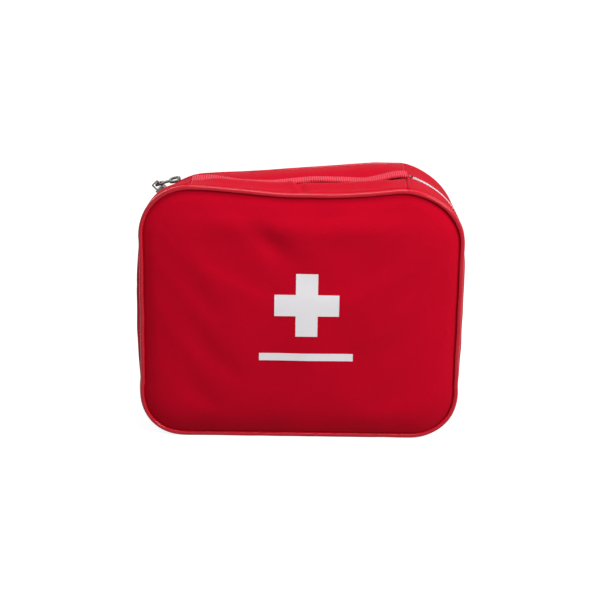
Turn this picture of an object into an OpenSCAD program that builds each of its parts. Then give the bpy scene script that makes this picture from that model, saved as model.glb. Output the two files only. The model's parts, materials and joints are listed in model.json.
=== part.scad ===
// Soft first aid bag: two zipped shells, a webbing handle and its supplies.
// Millimetres. Origin on the floor under the middle of the bag, +Z up, front towards -Y.

/* [Bag] */
// Width of the bag, side to side
bag_w = 250; // [208:1:320]
// Height of the bag without its handle
bag_h = 204; // [170:1:260]
// Depth between the front and the back seam planes
bag_d = 88; // [72:1:110]
// Radius of the four corners
corner_r = 44; // [36:1:54]
// Thickness of the padded fabric
fabric_t = 1.2; // [0.8:0.1:1.8]
// Diameter of the piping round the front and the back
piping_d = 4.4; // [3.4:0.1:6]
// Distance from the bag's side to the cross seam at each end of the zip
seam_from_side = 37; // [32:1:42]

/* [Zip] */
// Width of the slot that the zip shows in
slot_w = 10; // [10:0.5:14]
// Width of the folded hem along each side of the slot
hem_w = 7; // [5:0.5:9]
// Width of one zip tape
tape_w = 14; // [12:0.5:18]
// Thickness of the zip tape
tape_t = 0.6; // [0.4:0.1:0.9]
// Width of one half of the coil
coil_w = 2.3; // [2:0.1:2.6]
// Height of the coil
coil_h = 2.2; // [1.8:0.1:2.6]
// Open slit between the two halves of the coil
slit_w = 1.2; // [1.2:0.1:1.6]
// Where the slider stands on the upper left corner, from the vertical
slider_angle = 45; // [38:1:52]

/* [Slider and pull tab] */
// Length of the slider
slider_len = 8; // [7:0.1:9]
// Width of the slider
slider_w = 9; // [8.6:0.1:9.4]
// Thickness of the slider's two plates
slider_t = 1.2; // [1:0.1:1.4]
// Height of the tab's pivot over the fabric
pivot_h = 3.8; // [3.7:0.1:4.4]
// Length of the pull tab from its pivot to its far end
tab_len = 20; // [18:0.5:26]
// Width of the ring at the tab's end
ring_w = 9; // [8:0.1:9.4]
// Length of the ring at the tab's end
ring_len = 9.6; // [8:0.1:11]
// Width of the hole in the ring
ring_hole_w = 3.8; // [3:0.1:3.9]
// Thickness of the pull tab
tab_t = 1.4; // [1:0.1:1.5]

/* [Handle] */
// Width of the webbing
strap_w = 16; // [14:1:30]
// Thickness of the webbing
strap_t = 1.6; // [1.2:0.1:2]
// Gap for the fingers under the strap
strap_rise = 4.7; // [4.6:0.1:8]
// Half the length of the lifted middle of the strap
grip_half = 55; // [35:1:56]

/* [Print] */
// Height and width of the cross
cross_size = 50; // [40:1:60]
// Width of the cross's arms
cross_arm = 17; // [14:1:20]
// Height of the cross's centre over the floor
cross_z = 112; // [96:1:120]
// Width of the plain bar under the cross
bar_w = 73; // [50:1:90]
// Height of the plain bar
bar_h = 6; // [3:0.5:8]
// Height of the bar's centre over the floor
bar_z = 70; // [50:0.5:76]
// Sideways place of the print
print_x = 4.5; // [-6:0.5:6]

/* [Mesh pocket] */
// Width of the pocket on the inside of the front
pocket_w = 170; // [120:1:174]
// Height of the pocket
pocket_h = 96; // [70:1:110]
// Height of the pocket's lower edge over the floor
pocket_z = 22; // [20:1:30]
// How far the pocket stands off the front
pocket_depth = 4; // [3.4:0.1:5]

/* [Supplies] */
// Radius of the wide bandage roll, the gauze roll and the tape rolls
roll_r = 13.5; // [10:0.1:13.5]
// Radius of the narrow bandage roll
narrow_roll_r = 12; // [9:0.1:12]
// Height of the wide bandage roll
wide_roll_h = 62; // [50:1:64]
// Height of the narrow bandage roll
narrow_roll_h = 52; // [44:1:60]
// Height of the gauze roll
gauze_roll_h = 56; // [44:1:62]
// Height of one tape roll
tape_roll_h = 25; // [18:1:25]
// Radius of the hole in a tape roll
tape_core_r = 8; // [6:0.1:9]
// Width of the plaster carton
carton_w = 56; // [40:1:60]
// Depth of the plaster carton
carton_depth = 20; // [12:1:26]
// Height of the plaster carton
carton_h = 62; // [50:1:64]
// Width of a gauze packet
gauze_packet_w = 52; // [40:1:56]
// Thickness of a gauze packet
gauze_packet_t = 5; // [2:0.5:8]
// Height of a gauze packet
gauze_packet_h = 64; // [52:1:72]
// Width of a wipe packet
wipe_packet_w = 40; // [30:1:44]
// Thickness of a wipe packet
wipe_packet_t = 4; // [1.5:0.5:8]
// Height of a wipe packet
wipe_packet_h = 60; // [50:1:72]
// Width of the folded foil blanket
foil_w = 58; // [44:1:62]
// Depth of the folded foil blanket
foil_depth = 16; // [10:1:26]
// Height of the folded foil blanket
foil_h = 66; // [52:1:72]
// Height of the tweezers
tweezers_h = 76; // [60:1:78]
// Gap between the supplies in a row
row_gap = 4; // [3.6:0.1:4]
// Height of the elastic bands
band_h = 16; // [10:1:20]
// Thickness of the elastic bands
band_t = 0.8; // [0.5:0.1:1]

/* [Hidden] */
$fn = 64;

// Clearance between pieces that move past each other
clear = 0.3;
// Gap between sewn pieces of one shell
sewn = 0.1;
// Half lengths of the straight stretches of the outline
flat_x = bag_w / 2 - corner_r;
flat_z = bag_h / 2 - corner_r;
// Seam planes and the face of each panel
seam_y = bag_d / 2;
panel_in = seam_y - fabric_t / 2;
panel_out = seam_y + fabric_t / 2;
piping_r = piping_d / 2;
panel_inset = piping_d + sewn;
gusset_out = seam_y - piping_r - sewn;
// Cross seams at the ends of the zip
seam_x = bag_w / 2 - seam_from_side;
seam_w = 1.8;
seam_h = 1.8;
// Zip layers, each as a depth under the outer face
hem_in = 2 * fabric_t + sewn;
tape_out = hem_in + sewn;
tape_in = tape_out + tape_t;
coil_out = tape_out - sewn - coil_h;
coil_y = slit_w / 2;
slot_y = slot_w / 2;
stop_len = 2;
// Slider
post_t = slit_w - 2 * clear;
lip_t = 1.1;
lip_h = 1.2;
// Length of the slider's straight part, from its wide end to its shoulders
shoulder_len = slider_len * 5 / 8;
post_len = slider_len / 2;
// Rise of the rounded corner under half the slider's length
slider_sag = pow(slider_len, 2) / (8 * corner_r);
inner_plate_top = -(tape_in + slider_sag + clear);
nose_w = 6;
crown_w = 1.6;
crown_len = 6.4;
crown_t = 1.1;
crown_top = pivot_h + tab_t / 2 + clear + crown_t;
tab_tilt = acos((corner_r + clear + tab_t / 2) / (corner_r + pivot_h));
tab_window = 4.6;
tab_arm_w = 1.3;
tab_arm_gap = crown_w / 2 + clear + sewn;
tab_waist_w = 2.6;
ring_corner = ring_w / 2 - 0.5;
ring_wall = (ring_w - ring_hole_w) / 2;
ring_hole_len = ring_len - 2 * ring_wall + 1;
hole_corner = ring_hole_w / 2 - 0.1;
// Handle
strap_z = bag_h + strap_rise;
run_start = seam_x - 10;
// Prints
print_t = 0.3;
// Mesh pocket and its card
pocket_wall = 0.6;
pocket_edge_t = 1;
pocket_edge_h = 8;
leaflet_size = [110, 1.2, 78];
// Lining on the back
binding_w = 4.4;
binding_in = panel_in - fabric_t;
sheet_t = 1;
sheet_inset = panel_inset + binding_w + sewn;
sheet_face = panel_in - sheet_t;
elastic_gap = clear;
// Lowest clear height inside the bag at a distance x from its middle
function floor_z(x) = corner_r - (x <= flat_x ? floor_r : sqrt(pow(floor_r, 2) - pow(x - flat_x, 2)));
floor_r = corner_r - tape_in - clear;
// Sizes of the flat supplies: width, depth and height
carton = [carton_w, carton_depth, carton_h];
gauze_packet = [gauze_packet_w, gauze_packet_t, gauze_packet_h];
wipe_packet = [wipe_packet_w, wipe_packet_t, wipe_packet_h];
foil_pack = [foil_w, foil_depth, foil_h];
// Lower row of supplies, from the left: half widths and centres
lower_half = [roll_r, narrow_roll_r, carton.x / 2, roll_r, roll_r];
lower_x = row_centres(lower_half);
lower_band_z = floor_z(0) + 30;
// Packets that stand one in front of the other
packet_count = 3;
function packets_depth(packet) = packet_count * packet.y + (packet_count - 1) * sewn;
// Tweezers
tweezers_w = 12;
tweezers_depth = 8;
tweezers_leg_t = 0.9;
// Upper row of supplies, from the left: half widths and centres
upper_half = [gauze_packet.x / 2, tweezers_w / 2, foil_pack.x / 2, wipe_packet.x / 2];
upper_x = row_centres(upper_half);
upper_z = floor_z(0) + max(wide_roll_h, carton.z) + 10;
upper_band_z = upper_z + 26;
function total(list, n) = n == 0 ? 0 : list[n - 1] + total(list, n - 1);
function row_span(half) = 2 * total(half, len(half)) + row_gap * (len(half) - 1);
function row_centres(half) = [
    for (i = [0 : len(half) - 1])
        -row_span(half) / 2 + 2 * total(half, i) + half[i] + row_gap * i
];
// Floor height for a piece of a row, clear of the rounded corner
function stand_z(centres, half, i) = floor_z(abs(centres[i]) + half[i]);

red = "#c01426";
bright_red = "#d8324a";
white = "#eef0f2";
steel = "#8f8680";
cream = "#efe8d8";

// ---------- outlines and bands ----------

// Rounded outline of the bag, seen from the front, set in by a distance
module outline(inset) {
    r = corner_r - inset;
    translate([0, bag_h / 2]) {
        square([2 * flat_x, 2 * (flat_z + r)], center = true);
        square([2 * (flat_x + r), 2 * flat_z], center = true);
        for (sx = [-1, 1], sz = [-1, 1])
            translate([sx * flat_x, sz * flat_z])
                circle(r);
    }
}

// A rectangle with round corners
module rounded(w, h, r) {
    square([w - 2 * r, h], center = true);
    square([w, h - 2 * r], center = true);
    for (sx = [-1, 1], sy = [-1, 1])
        translate([sx * (w / 2 - r), sy * (h / 2 - r)])
            circle(r);
}

// Raises an outline in the XZ plane into a solid from y0 to y1
module from_front(y0, y1) {
    translate([0, y1, 0])
        rotate([90, 0, 0])
            linear_extrude(y1 - y0)
                children();
}

// Band that runs all round the bag
module ring_band(outer, inner, y0, y1) {
    from_front(y0, y1)
        difference() {
            outline(outer);
            outline(inner);
        }
}

// Band that runs down one side, along the floor and up the other side
module side_band(outer, inner, y0, y1, end_x) {
    from_front(y0, y1)
        difference() {
            outline(outer);
            outline(inner);
            translate([-end_x, bag_h / 2])
                square([2 * end_x, bag_h]);
        }
}

// Stretch of the band across the top, from x0 to x1
module top_band(outer, inner, y0, y1, x0, x1) {
    from_front(y0, y1)
        intersection() {
            difference() {
                outline(outer);
                outline(inner);
            }
            translate([x0, bag_h / 2])
                square([x1 - x0, bag_h]);
        }
}

// Round piping along the outline of one seam plane
module piping() {
    for (sx = [-1, 1])
        translate([sx * (bag_w / 2 - piping_r), 0, bag_h / 2])
            cylinder(h = 2 * flat_z, r = piping_r, center = true);
    for (sz = [-1, 1])
        translate([0, 0, bag_h / 2 + sz * (bag_h / 2 - piping_r)])
            rotate([0, 90, 0])
                cylinder(h = 2 * flat_x, r = piping_r, center = true);
    for (quarter = [0 : 3])
        translate([
            (quarter == 0 || quarter == 3 ? 1 : -1) * flat_x, 0,
            bag_h / 2 + (quarter < 2 ? 1 : -1) * flat_z
        ])
            rotate([90, 0, 0])
                rotate([0, 0, quarter * 90])
                    rotate_extrude(angle = 90)
                        translate([corner_r - piping_r, 0])
                            circle(piping_r, $fn = 32);
}

// ---------- the zip, built for the back shell and mirrored for the front ----------

module zip_hem(end_x) {
    side_band(fabric_t + sewn, hem_in, slot_y, slot_y + hem_w, end_x);
}

module zip_tape(end_x) {
    side_band(tape_out, tape_in, coil_y, coil_y + tape_w, end_x);
}

module zip_coil(end_x) {
    side_band(coil_out, coil_out + coil_h, coil_y, coil_y + coil_w, end_x + stop_len + sewn);
}

module zip_stops(end_x) {
    for (x = [-end_x - stop_len, end_x])
        top_band(coil_out, coil_out + coil_h, coil_y, coil_y + coil_w, x, x + stop_len);
}

module binding() {
    ring_band(panel_inset, panel_inset + binding_w, binding_in, panel_in);
}

// ---------- back shell ----------

module back_panel() {
    color(red)
        from_front(panel_in, panel_out)
            outline(panel_inset);
}

module back_piping() {
    color(bright_red)
        translate([0, seam_y, 0])
            piping();
}

module back_gusset() {
    color(red)
        side_band(0, fabric_t, slot_y, gusset_out, seam_x);
}

module back_zip_hem() {
    color(red)
        zip_hem(seam_x);
}

module back_zip_tape() {
    color(white)
        zip_tape(seam_x);
}

module back_zip_coil() {
    color(white)
        zip_coil(seam_x);
}

module back_zip_stops() {
    color(steel)
        zip_stops(seam_x);
}

module back_binding() {
    color(red)
        binding();
}

// Plain panel between the two cross seams; the front folds open along its front edge
module top_panel() {
    color(bright_red)
        top_band(0, fabric_t, -gusset_out + clear, gusset_out, -seam_x, seam_x);
}

// Folded cross seam that holds the end of the zip and of the handle
module end_seam(side) {
    x0 = side < 0 ? -seam_x : seam_x - seam_w;
    color(red)
        top_band(-seam_h, 0, -gusset_out + clear, gusset_out, x0, x0 + seam_w);
}

module end_seam_left() {
    end_seam(-1);
}

module end_seam_right() {
    end_seam(1);
}

// ---------- handle ----------

// End of the strap, sewn flat on the top panel up to the cross seam
module handle_end(side) {
    inner_x = run_start;
    outer_x = seam_x - seam_w;
    color(bright_red)
        top_band(-strap_t, 0, -strap_w / 2, strap_w / 2,
            side < 0 ? -outer_x : inner_x, side < 0 ? -inner_x : outer_x);
}

module handle_end_left() {
    handle_end(-1);
}

module handle_end_right() {
    handle_end(1);
}

// Rising stretch of the strap between the sewn end and the middle
module handle_run() {
    color(bright_red)
        from_front(-strap_w / 2, strap_w / 2)
            polygon([
                [run_start, bag_h],
                [run_start, bag_h + strap_t],
                [grip_half + clear, strap_z + strap_t],
                [grip_half + clear, strap_z]
            ]);
}

module handle_run_left() {
    mirror([1, 0, 0])
        handle_run();
}

module handle_run_right() {
    handle_run();
}

module handle_grip() {
    color(bright_red)
        translate([-grip_half, -strap_w / 2, strap_z])
            cube([2 * grip_half, strap_w, strap_t]);
}

// ---------- front shell ----------

module front_panel() {
    color(red)
        mirror([0, 1, 0])
            from_front(panel_in, panel_out)
                outline(panel_inset);
}

module front_piping() {
    color(bright_red)
        translate([0, -seam_y, 0])
            piping();
}

module front_gusset() {
    color(red)
        mirror([0, 1, 0])
            side_band(0, fabric_t, slot_y, gusset_out, seam_x + clear);
}

module front_zip_hem() {
    color(red)
        mirror([0, 1, 0])
            zip_hem(seam_x + clear);
}

module front_zip_tape() {
    color(white)
        mirror([0, 1, 0])
            zip_tape(seam_x + clear);
}

module front_zip_coil() {
    color(white)
        mirror([0, 1, 0])
            zip_coil(seam_x + clear);
}

module front_zip_stops() {
    color(steel)
        mirror([0, 1, 0])
            zip_stops(seam_x + clear);
}

module front_binding() {
    color(red)
        mirror([0, 1, 0])
            binding();
}

module cross_print() {
    color(white)
        mirror([0, 1, 0])
            from_front(panel_out, panel_out + print_t)
                translate([print_x, cross_z]) {
                    square([cross_size, cross_arm], center = true);
                    square([cross_arm, cross_size], center = true);
                }
}

module bar_print() {
    color(white)
        mirror([0, 1, 0])
            from_front(panel_out, panel_out + print_t)
                translate([print_x, bar_z])
                    square([bar_w, bar_h], center = true);
}

// Shallow mesh pocket, open at its top
module mesh_pocket() {
    color(white)
        mirror([0, 1, 0])
            difference() {
                translate([-pocket_w / 2, panel_in - pocket_depth, pocket_z])
                    cube([pocket_w, pocket_depth, pocket_h]);
                translate([
                    -pocket_w / 2 + pocket_wall,
                    panel_in - pocket_depth + pocket_wall,
                    pocket_z + pocket_wall
                ])
                    cube([pocket_w - 2 * pocket_wall, pocket_depth, pocket_h]);
            }
}

// Elastic edge along the pocket's mouth
module pocket_elastic() {
    color(red)
        translate([-pocket_w / 2, -panel_in + pocket_depth, pocket_z + pocket_h - pocket_edge_h])
            cube([pocket_w, pocket_edge_t, pocket_edge_h]);
}

// Folded card in the pocket
module leaflet() {
    color(white)
        translate([-leaflet_size.x / 2, -panel_in, pocket_z + pocket_wall + sewn])
            cube(leaflet_size);
}

// ---------- slider and pull tab ----------

// Moves its children onto the upper left corner: X along the zip, Z straight out
module on_corner() {
    translate([-flat_x, 0, bag_h - corner_r])
        rotate([0, -slider_angle, 0])
            translate([0, 0, corner_r])
                children();
}

module slider_outline() {
    polygon([
        [-slider_len / 2, -nose_w / 2],
        [slider_len / 2 - shoulder_len, -slider_w / 2],
        [slider_len / 2, -slider_w / 2],
        [slider_len / 2, slider_w / 2],
        [slider_len / 2 - shoulder_len, slider_w / 2],
        [-slider_len / 2, nose_w / 2]
    ]);
}

module zip_slider() {
    color(steel)
        on_corner() {
            linear_extrude(slider_t)
                slider_outline();
            // Lips that guide the coil from both sides
            for (side = [-1, 1])
                translate([
                    slider_len / 2 - shoulder_len,
                    side > 0 ? slider_w / 2 - lip_t : -slider_w / 2,
                    -lip_h
                ])
                    cube([shoulder_len, lip_t, lip_h + slider_t / 2]);
            // Post through the slit
            translate([-post_len / 2, -post_t / 2, inner_plate_top - slider_t])
                cube([post_len, post_t, slider_t - inner_plate_top + slider_t / 2]);
            // Inner plate behind the back shell's tape
            translate([-slider_len / 2, -post_t / 2, inner_plate_top - slider_t])
                cube([slider_len, slider_w / 2, slider_t]);
            // Crown that holds the tab's pivot bar
            translate([0, crown_w / 2, 0])
                rotate([90, 0, 0])
                    linear_extrude(crown_w)
                        translate([0, (crown_top + slider_t - crown_t) / 2])
                            difference() {
                                rounded(crown_len, crown_top - slider_t + crown_t, crown_t);
                                square([crown_len - 2 * crown_t, crown_top - slider_t - crown_t],
                                    center = true);
                            }
        }
}

module pull_tab() {
    neck_x = tab_len - ring_len;
    arm_y = tab_arm_gap + tab_arm_w;
    color(steel)
        on_corner()
            translate([0, 0, pivot_h])
                rotate([0, tab_tilt, 0]) {
                    rotate([90, 0, 0])
                        cylinder(h = 2 * arm_y, r = tab_t / 2, center = true, $fn = 32);
                    translate([0, 0, -tab_t / 2])
                        linear_extrude(tab_t)
                            difference() {
                                union() {
                                    translate([0, -arm_y])
                                        square([tab_window + tab_arm_w, 2 * arm_y]);
                                    translate([0, -tab_waist_w / 2])
                                        square([neck_x + tab_arm_w, tab_waist_w]);
                                    translate([tab_len - ring_len / 2, 0])
                                        rounded(ring_len, ring_w, ring_corner);
                                }
                                translate([tab_t / 2, -tab_arm_gap])
                                    square([tab_window - tab_t / 2, 2 * tab_arm_gap]);
                                translate([tab_len - ring_len / 2, 0])
                                    rounded(ring_hole_len, ring_hole_w, hole_corner);
                            }
                }
}

// ---------- lining, elastic bands and supplies ----------

module organiser_sheet() {
    color(red)
        from_front(sheet_face, panel_in)
            outline(sheet_inset);
}

// Elastic loop round a roll, open towards the lining
module roll_loop(x, r) {
    hole = r + elastic_gap;
    translate([x, sheet_face - clear - r])
        difference() {
            union() {
                circle(hole + band_t);
                translate([-hole - band_t, 0])
                    square([2 * (hole + band_t), r + clear]);
            }
            circle(hole);
            translate([-hole, 0])
                square([2 * hole, r + 2 * clear]);
            translate([-hole - band_t, r + clear])
                square([2 * (hole + band_t), hole]);
        }
}

// Elastic loop round a flat piece, open towards the lining
module flat_loop(x, w, depth) {
    hole_w = w + 2 * elastic_gap;
    hole_d = depth + clear + elastic_gap;
    translate([x, sheet_face])
        difference() {
            translate([-hole_w / 2 - band_t, -hole_d - band_t])
                square([hole_w + 2 * band_t, hole_d + band_t]);
            translate([-hole_w / 2, -hole_d])
                square([hole_w, 2 * hole_d]);
        }
}

// Sewn-down stretches of a band between the loops of a row
module band_tacks(centres, half) {
    for (i = [0 : len(half) - 2])
        translate([centres[i] + half[i], sheet_face - band_t])
            translate([elastic_gap + band_t / 2, 0])
                square([row_gap - 2 * elastic_gap - band_t, band_t]);
}

module lower_elastic() {
    color(red)
        translate([0, 0, lower_band_z])
            linear_extrude(band_h) {
                roll_loop(lower_x[0], roll_r);
                roll_loop(lower_x[1], narrow_roll_r);
                flat_loop(lower_x[2], carton.x, carton.y);
                roll_loop(lower_x[3], roll_r);
                roll_loop(lower_x[4], roll_r);
                band_tacks(lower_x, lower_half);
            }
}

module upper_elastic() {
    color(red)
        translate([0, 0, upper_band_z])
            linear_extrude(band_h) {
                flat_loop(upper_x[0], gauze_packet.x, packets_depth(gauze_packet));
                flat_loop(upper_x[1], tweezers_w, tweezers_depth);
                flat_loop(upper_x[2], foil_pack.x, foil_pack.y);
                flat_loop(upper_x[3], wipe_packet.x, packets_depth(wipe_packet));
                band_tacks(upper_x, upper_half);
            }
}

// A roll that stands in the lower row
module roll(i, r, h) {
    translate([lower_x[i], sheet_face - clear - r, stand_z(lower_x, lower_half, i)])
        cylinder(h = h, r = r);
}

module wide_bandage_roll() {
    color(cream)
        roll(0, roll_r, wide_roll_h);
}

module narrow_bandage_roll() {
    color(cream)
        roll(1, narrow_roll_r, narrow_roll_h);
}

module plaster_carton() {
    color(white)
        translate([lower_x[2] - carton.x / 2, sheet_face - clear - carton.y, floor_z(0)])
            cube(carton);
}

module gauze_roll() {
    color(white)
        roll(3, roll_r, gauze_roll_h);
}

// Two tape rolls, one on the other
module tape_rolls() {
    color(white)
        translate([
            lower_x[4],
            sheet_face - clear - roll_r,
            stand_z(lower_x, lower_half, 4)
        ])
            for (layer = [0, 1])
                translate([0, 0, layer * (tape_roll_h + sewn)])
                    linear_extrude(tape_roll_h)
                        difference() {
                            circle(roll_r);
                            circle(tape_core_r);
                        }
}

// Flat packets that stand one in front of the other
module packets(i, packet) {
    for (layer = [0 : packet_count - 1])
        translate([
            upper_x[i] - packet.x / 2,
            sheet_face - clear - (layer + 1) * packet.y - layer * sewn,
            upper_z
        ])
            cube(packet);
}

module gauze_packets() {
    color(white)
        packets(0, gauze_packet);
}

module wipe_packets() {
    color(white)
        packets(3, wipe_packet);
}

module foil_blanket() {
    color("silver")
        translate([upper_x[2] - foil_pack.x / 2, sheet_face - clear - foil_pack.y, upper_z])
            cube(foil_pack);
}

// Two thin legs that meet in a fold at the upper end
module tweezers() {
    fold_r = tweezers_depth / 2;
    color(steel)
        translate([upper_x[1] - tweezers_w / 2, sheet_face - clear - tweezers_depth, upper_z])
            rotate([90, 0, 90])
                linear_extrude(tweezers_w) {
                    square([tweezers_leg_t, tweezers_h - fold_r]);
                    translate([tweezers_depth - tweezers_leg_t, 0])
                        square([tweezers_leg_t, tweezers_h - fold_r]);
                    translate([fold_r, tweezers_h - fold_r])
                        difference() {
                            circle(fold_r);
                            circle(fold_r - tweezers_leg_t);
                            translate([-fold_r, -2 * fold_r])
                                square(2 * fold_r);
                        }
                }
}

back_panel();
back_piping();
back_gusset();
back_zip_hem();
back_zip_tape();
back_zip_coil();
back_zip_stops();
back_binding();
top_panel();
end_seam_left();
end_seam_right();
handle_end_left();
handle_end_right();
handle_run_left();
handle_run_right();
handle_grip();
front_panel();
front_piping();
front_gusset();
front_zip_hem();
front_zip_tape();
front_zip_coil();
front_zip_stops();
front_binding();
cross_print();
bar_print();
mesh_pocket();
pocket_elastic();
leaflet();
zip_slider();
pull_tab();
organiser_sheet();
lower_elastic();
upper_elastic();
wide_bandage_roll();
narrow_bandage_roll();
plaster_carton();
gauze_roll();
tape_rolls();
gauze_packets();
tweezers();
foil_blanket();
wipe_packets();
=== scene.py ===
# %% [markdown]
# # A soft first aid bag
# The bag is two shallow fabric shells that a zip joins round three sides. Each shell is a flat cover,
# a round piping along its edge and a gusset strip that runs back to the zip. A plain panel closes the
# top, and a webbing handle lies across it. The construction model fixes every size and every joint.
# This lesson dresses that model: it builds each soft part as cloth, and gives each hard part its finish.

# %% Load the construction model
import json
import math

import bmesh
import bpy
import numpy as np
from mathutils import Matrix, Vector, geometry
from mathutils.bvhtree import BVHTree


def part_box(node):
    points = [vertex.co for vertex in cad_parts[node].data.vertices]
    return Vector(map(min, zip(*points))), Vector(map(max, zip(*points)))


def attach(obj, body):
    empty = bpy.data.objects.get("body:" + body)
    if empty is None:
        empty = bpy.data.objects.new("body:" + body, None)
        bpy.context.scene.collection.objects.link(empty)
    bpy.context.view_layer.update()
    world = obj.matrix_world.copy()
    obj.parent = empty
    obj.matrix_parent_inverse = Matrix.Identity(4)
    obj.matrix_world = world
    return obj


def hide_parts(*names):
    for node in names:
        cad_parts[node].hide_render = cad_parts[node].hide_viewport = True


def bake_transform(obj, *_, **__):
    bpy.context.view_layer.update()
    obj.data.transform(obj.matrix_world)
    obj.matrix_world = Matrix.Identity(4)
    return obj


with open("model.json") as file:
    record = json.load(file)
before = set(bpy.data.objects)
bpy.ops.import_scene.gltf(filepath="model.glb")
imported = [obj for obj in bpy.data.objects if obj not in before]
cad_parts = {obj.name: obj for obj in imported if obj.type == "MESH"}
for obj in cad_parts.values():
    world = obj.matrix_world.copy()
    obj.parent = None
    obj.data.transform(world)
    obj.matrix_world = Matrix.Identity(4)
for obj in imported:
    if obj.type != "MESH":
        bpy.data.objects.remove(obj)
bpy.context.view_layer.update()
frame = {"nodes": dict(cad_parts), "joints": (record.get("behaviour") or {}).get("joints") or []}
MM = 0.001

# %% [markdown]
# ## Sizes
# Nothing here is measured by hand: the width, height, corner radius and seam planes are read from the
# model's own boxes and joints. The slider's hinge stands at the centre of a rounded corner, and the
# front's hinge runs through the piping, so the two joints give the corner radius and the seam plane.

# %% Read the driving sizes
joints = {joint["name"]: joint for joint in frame["joints"]}
half_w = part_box("back_gusset")[1].x
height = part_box("top_panel")[1].z
flat_x = -joints["slider_run"]["pos_m"][0]
corner_r = half_w - flat_x
flat_z = height / 2 - corner_r
seam_y = -joints["front_open"]["pos_m"][1]
piping_r = height - joints["front_open"]["pos_m"][2]
seam_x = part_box("top_panel")[1].x
gusset_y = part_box("back_gusset")[1].y
slot_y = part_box("back_gusset")[0].y
tape_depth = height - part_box("back_zip_tape")[1].z
print("corner radius", round(corner_r / MM, 1), "seam plane", round(seam_y / MM, 1),
      "cross seam", round(seam_x / MM, 1))

# %% [markdown]
# ## The outline
# Seen from the front, the bag is a rectangle with round corners. A point on such an outline is a centre
# that walks round a smaller rectangle, plus a radius along the normal. Both the centre and the angle of
# the normal change in straight steps with the length walked, so one interpolation gives the whole shape.

# %% A walk round the outline
quarter = corner_r * math.pi / 2
walk_knots = np.cumsum([0, flat_x, quarter, 2 * flat_z, quarter, 2 * flat_x, quarter,
                        2 * flat_z, quarter, flat_x])
walk_cx = flat_x * np.array([0, 1, 1, 1, 1, -1, -1, -1, -1, 0])
walk_cz = flat_z * np.array([-1, -1, -1, 1, 1, 1, 1, -1, -1, -1])
walk_angle = math.pi / 2 * np.array([-1, -1, 0, 0, 1, 1, 2, 2, 3, 3])
girth = walk_knots[-1]
seam_turn = math.asin((seam_x - flat_x) / corner_r)
seam_s = walk_knots[4] - corner_r * seam_turn


def outline(s, inset=0.0):
    """Points (x, z) and outward normals at lengths s, walked from the middle of the floor towards +X."""
    s = np.mod(np.asarray(s, float), girth)
    cx = np.interp(s, walk_knots, walk_cx)
    cz = np.interp(s, walk_knots, walk_cz)
    angle = np.interp(s, walk_knots, walk_angle)
    normal = np.stack([np.cos(angle), np.sin(angle)], -1)
    centre = np.stack([cx, height / 2 + cz], -1)
    return centre + (corner_r - np.asarray(inset))[..., None] * normal, normal


print("girth of the bag in mm:", round(girth / MM, 1))

# %% [markdown]
# ## How the bag slumps
# A half-full bag doesn't keep the shape it was cut to. Its front top edge sags in the middle, and the
# far left corner of the top drops. One function moves any point of the fabric, so every piece that is
# sewn to another moves with it and the seams stay closed. The filled corners push out, but at the bottom
# never through the floor. The slider turns about the centre of the left corner, so the zip has to keep an
# even distance from there: a shallow valley along it sees to that.

# %% Small steps that every shape below is made of
def smooth(value, low, high):
    """0 below low, 1 above high and a soft step between."""
    t = np.clip((value - low) / (high - low), 0, 1)
    return t * t * (3 - 2 * t)


def bell(value, width):
    """1 at 0, falling off evenly on both sides."""
    return np.exp(-(value / width) ** 2)


def points_at(x, y, z):
    """Stacks three coordinates, spread to one shape, into points."""
    return np.stack(np.broadcast_arrays(x, y, z), -1)


print("halfway up a step:", smooth(0.5, 0, 1), "and one width down a bell:", round(float(bell(1, 1)), 2))

# %% The sag
front_sag = 5.0 * MM
back_drop_slope = 0.085
back_drop_most = 24 * MM
seam_pull = 6.5 * MM
corner_push = {(-1, -1): 5.0 * MM, (1, -1): 3.5 * MM, (-1, 1): 2.6 * MM, (1, 1): -2.5 * MM}
back_tuck = 5.0 * MM


def sag(points):
    """Moves points of the sewn fabric to where they rest on the half-full bag."""
    p = np.array(points, float)
    x, y, z = p[..., 0], p[..., 1], p[..., 2]
    top = smooth(z, 0.5 * height, height)
    across = 1 - smooth(np.abs(x - 8 * MM), 10 * MM, 92 * MM)
    front_drop = front_sag * across * smooth(-y, -seam_y, seam_y)
    reach = np.clip(60 * MM - x, 0, None)
    drop = back_drop_most * np.tanh(back_drop_slope * reach / back_drop_most)
    near_seam = bell(x - seam_x, 30 * MM) * smooth(z, height - 40 * MM, height)
    p[..., 0] = x - seam_pull * near_seam * (0.75 - 0.25 * y / seam_y)
    p[..., 2] = z - top * (front_drop + drop * smooth(y, -seam_y, 0.92 * seam_y))
    reaches = {(-1, 1): smooth(-y, -10 * MM, 30 * MM), (1, 1): smooth(y, -seam_y, 5 * MM)}
    for (side, end), push in corner_push.items():
        dx = np.maximum(side * x - flat_x, 0)
        dz = np.maximum(end * (z - height / 2) - flat_z, 0)
        radius = np.maximum(np.hypot(dx, dz), 1e-9)
        bump = push * 2 * dx * dz / radius / corner_r * reaches.get((side, end), 1)
        if end < 0:
            to_floor = corner_r * (radius / np.maximum(dz, 1e-9) - 1)
            bump = bump * to_floor / np.cbrt(bump ** 3 + to_floor ** 3 + 1e-30)
        if (side, end) == (-1, 1):
            tuck_in = smooth(y, 2 * MM, 18 * MM) * (1 - 0.7 * smooth(y, 24 * MM, seam_y))
            bump -= back_tuck * 2 * dx * dz / radius / corner_r * tuck_in
        p[..., 0] += side * bump * dx / radius
        p[..., 2] += end * bump * dz / radius
    return p


print("front edge sags", front_sag / MM, "mm; the far left corner drops up to", back_drop_most / MM, "mm")

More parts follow.
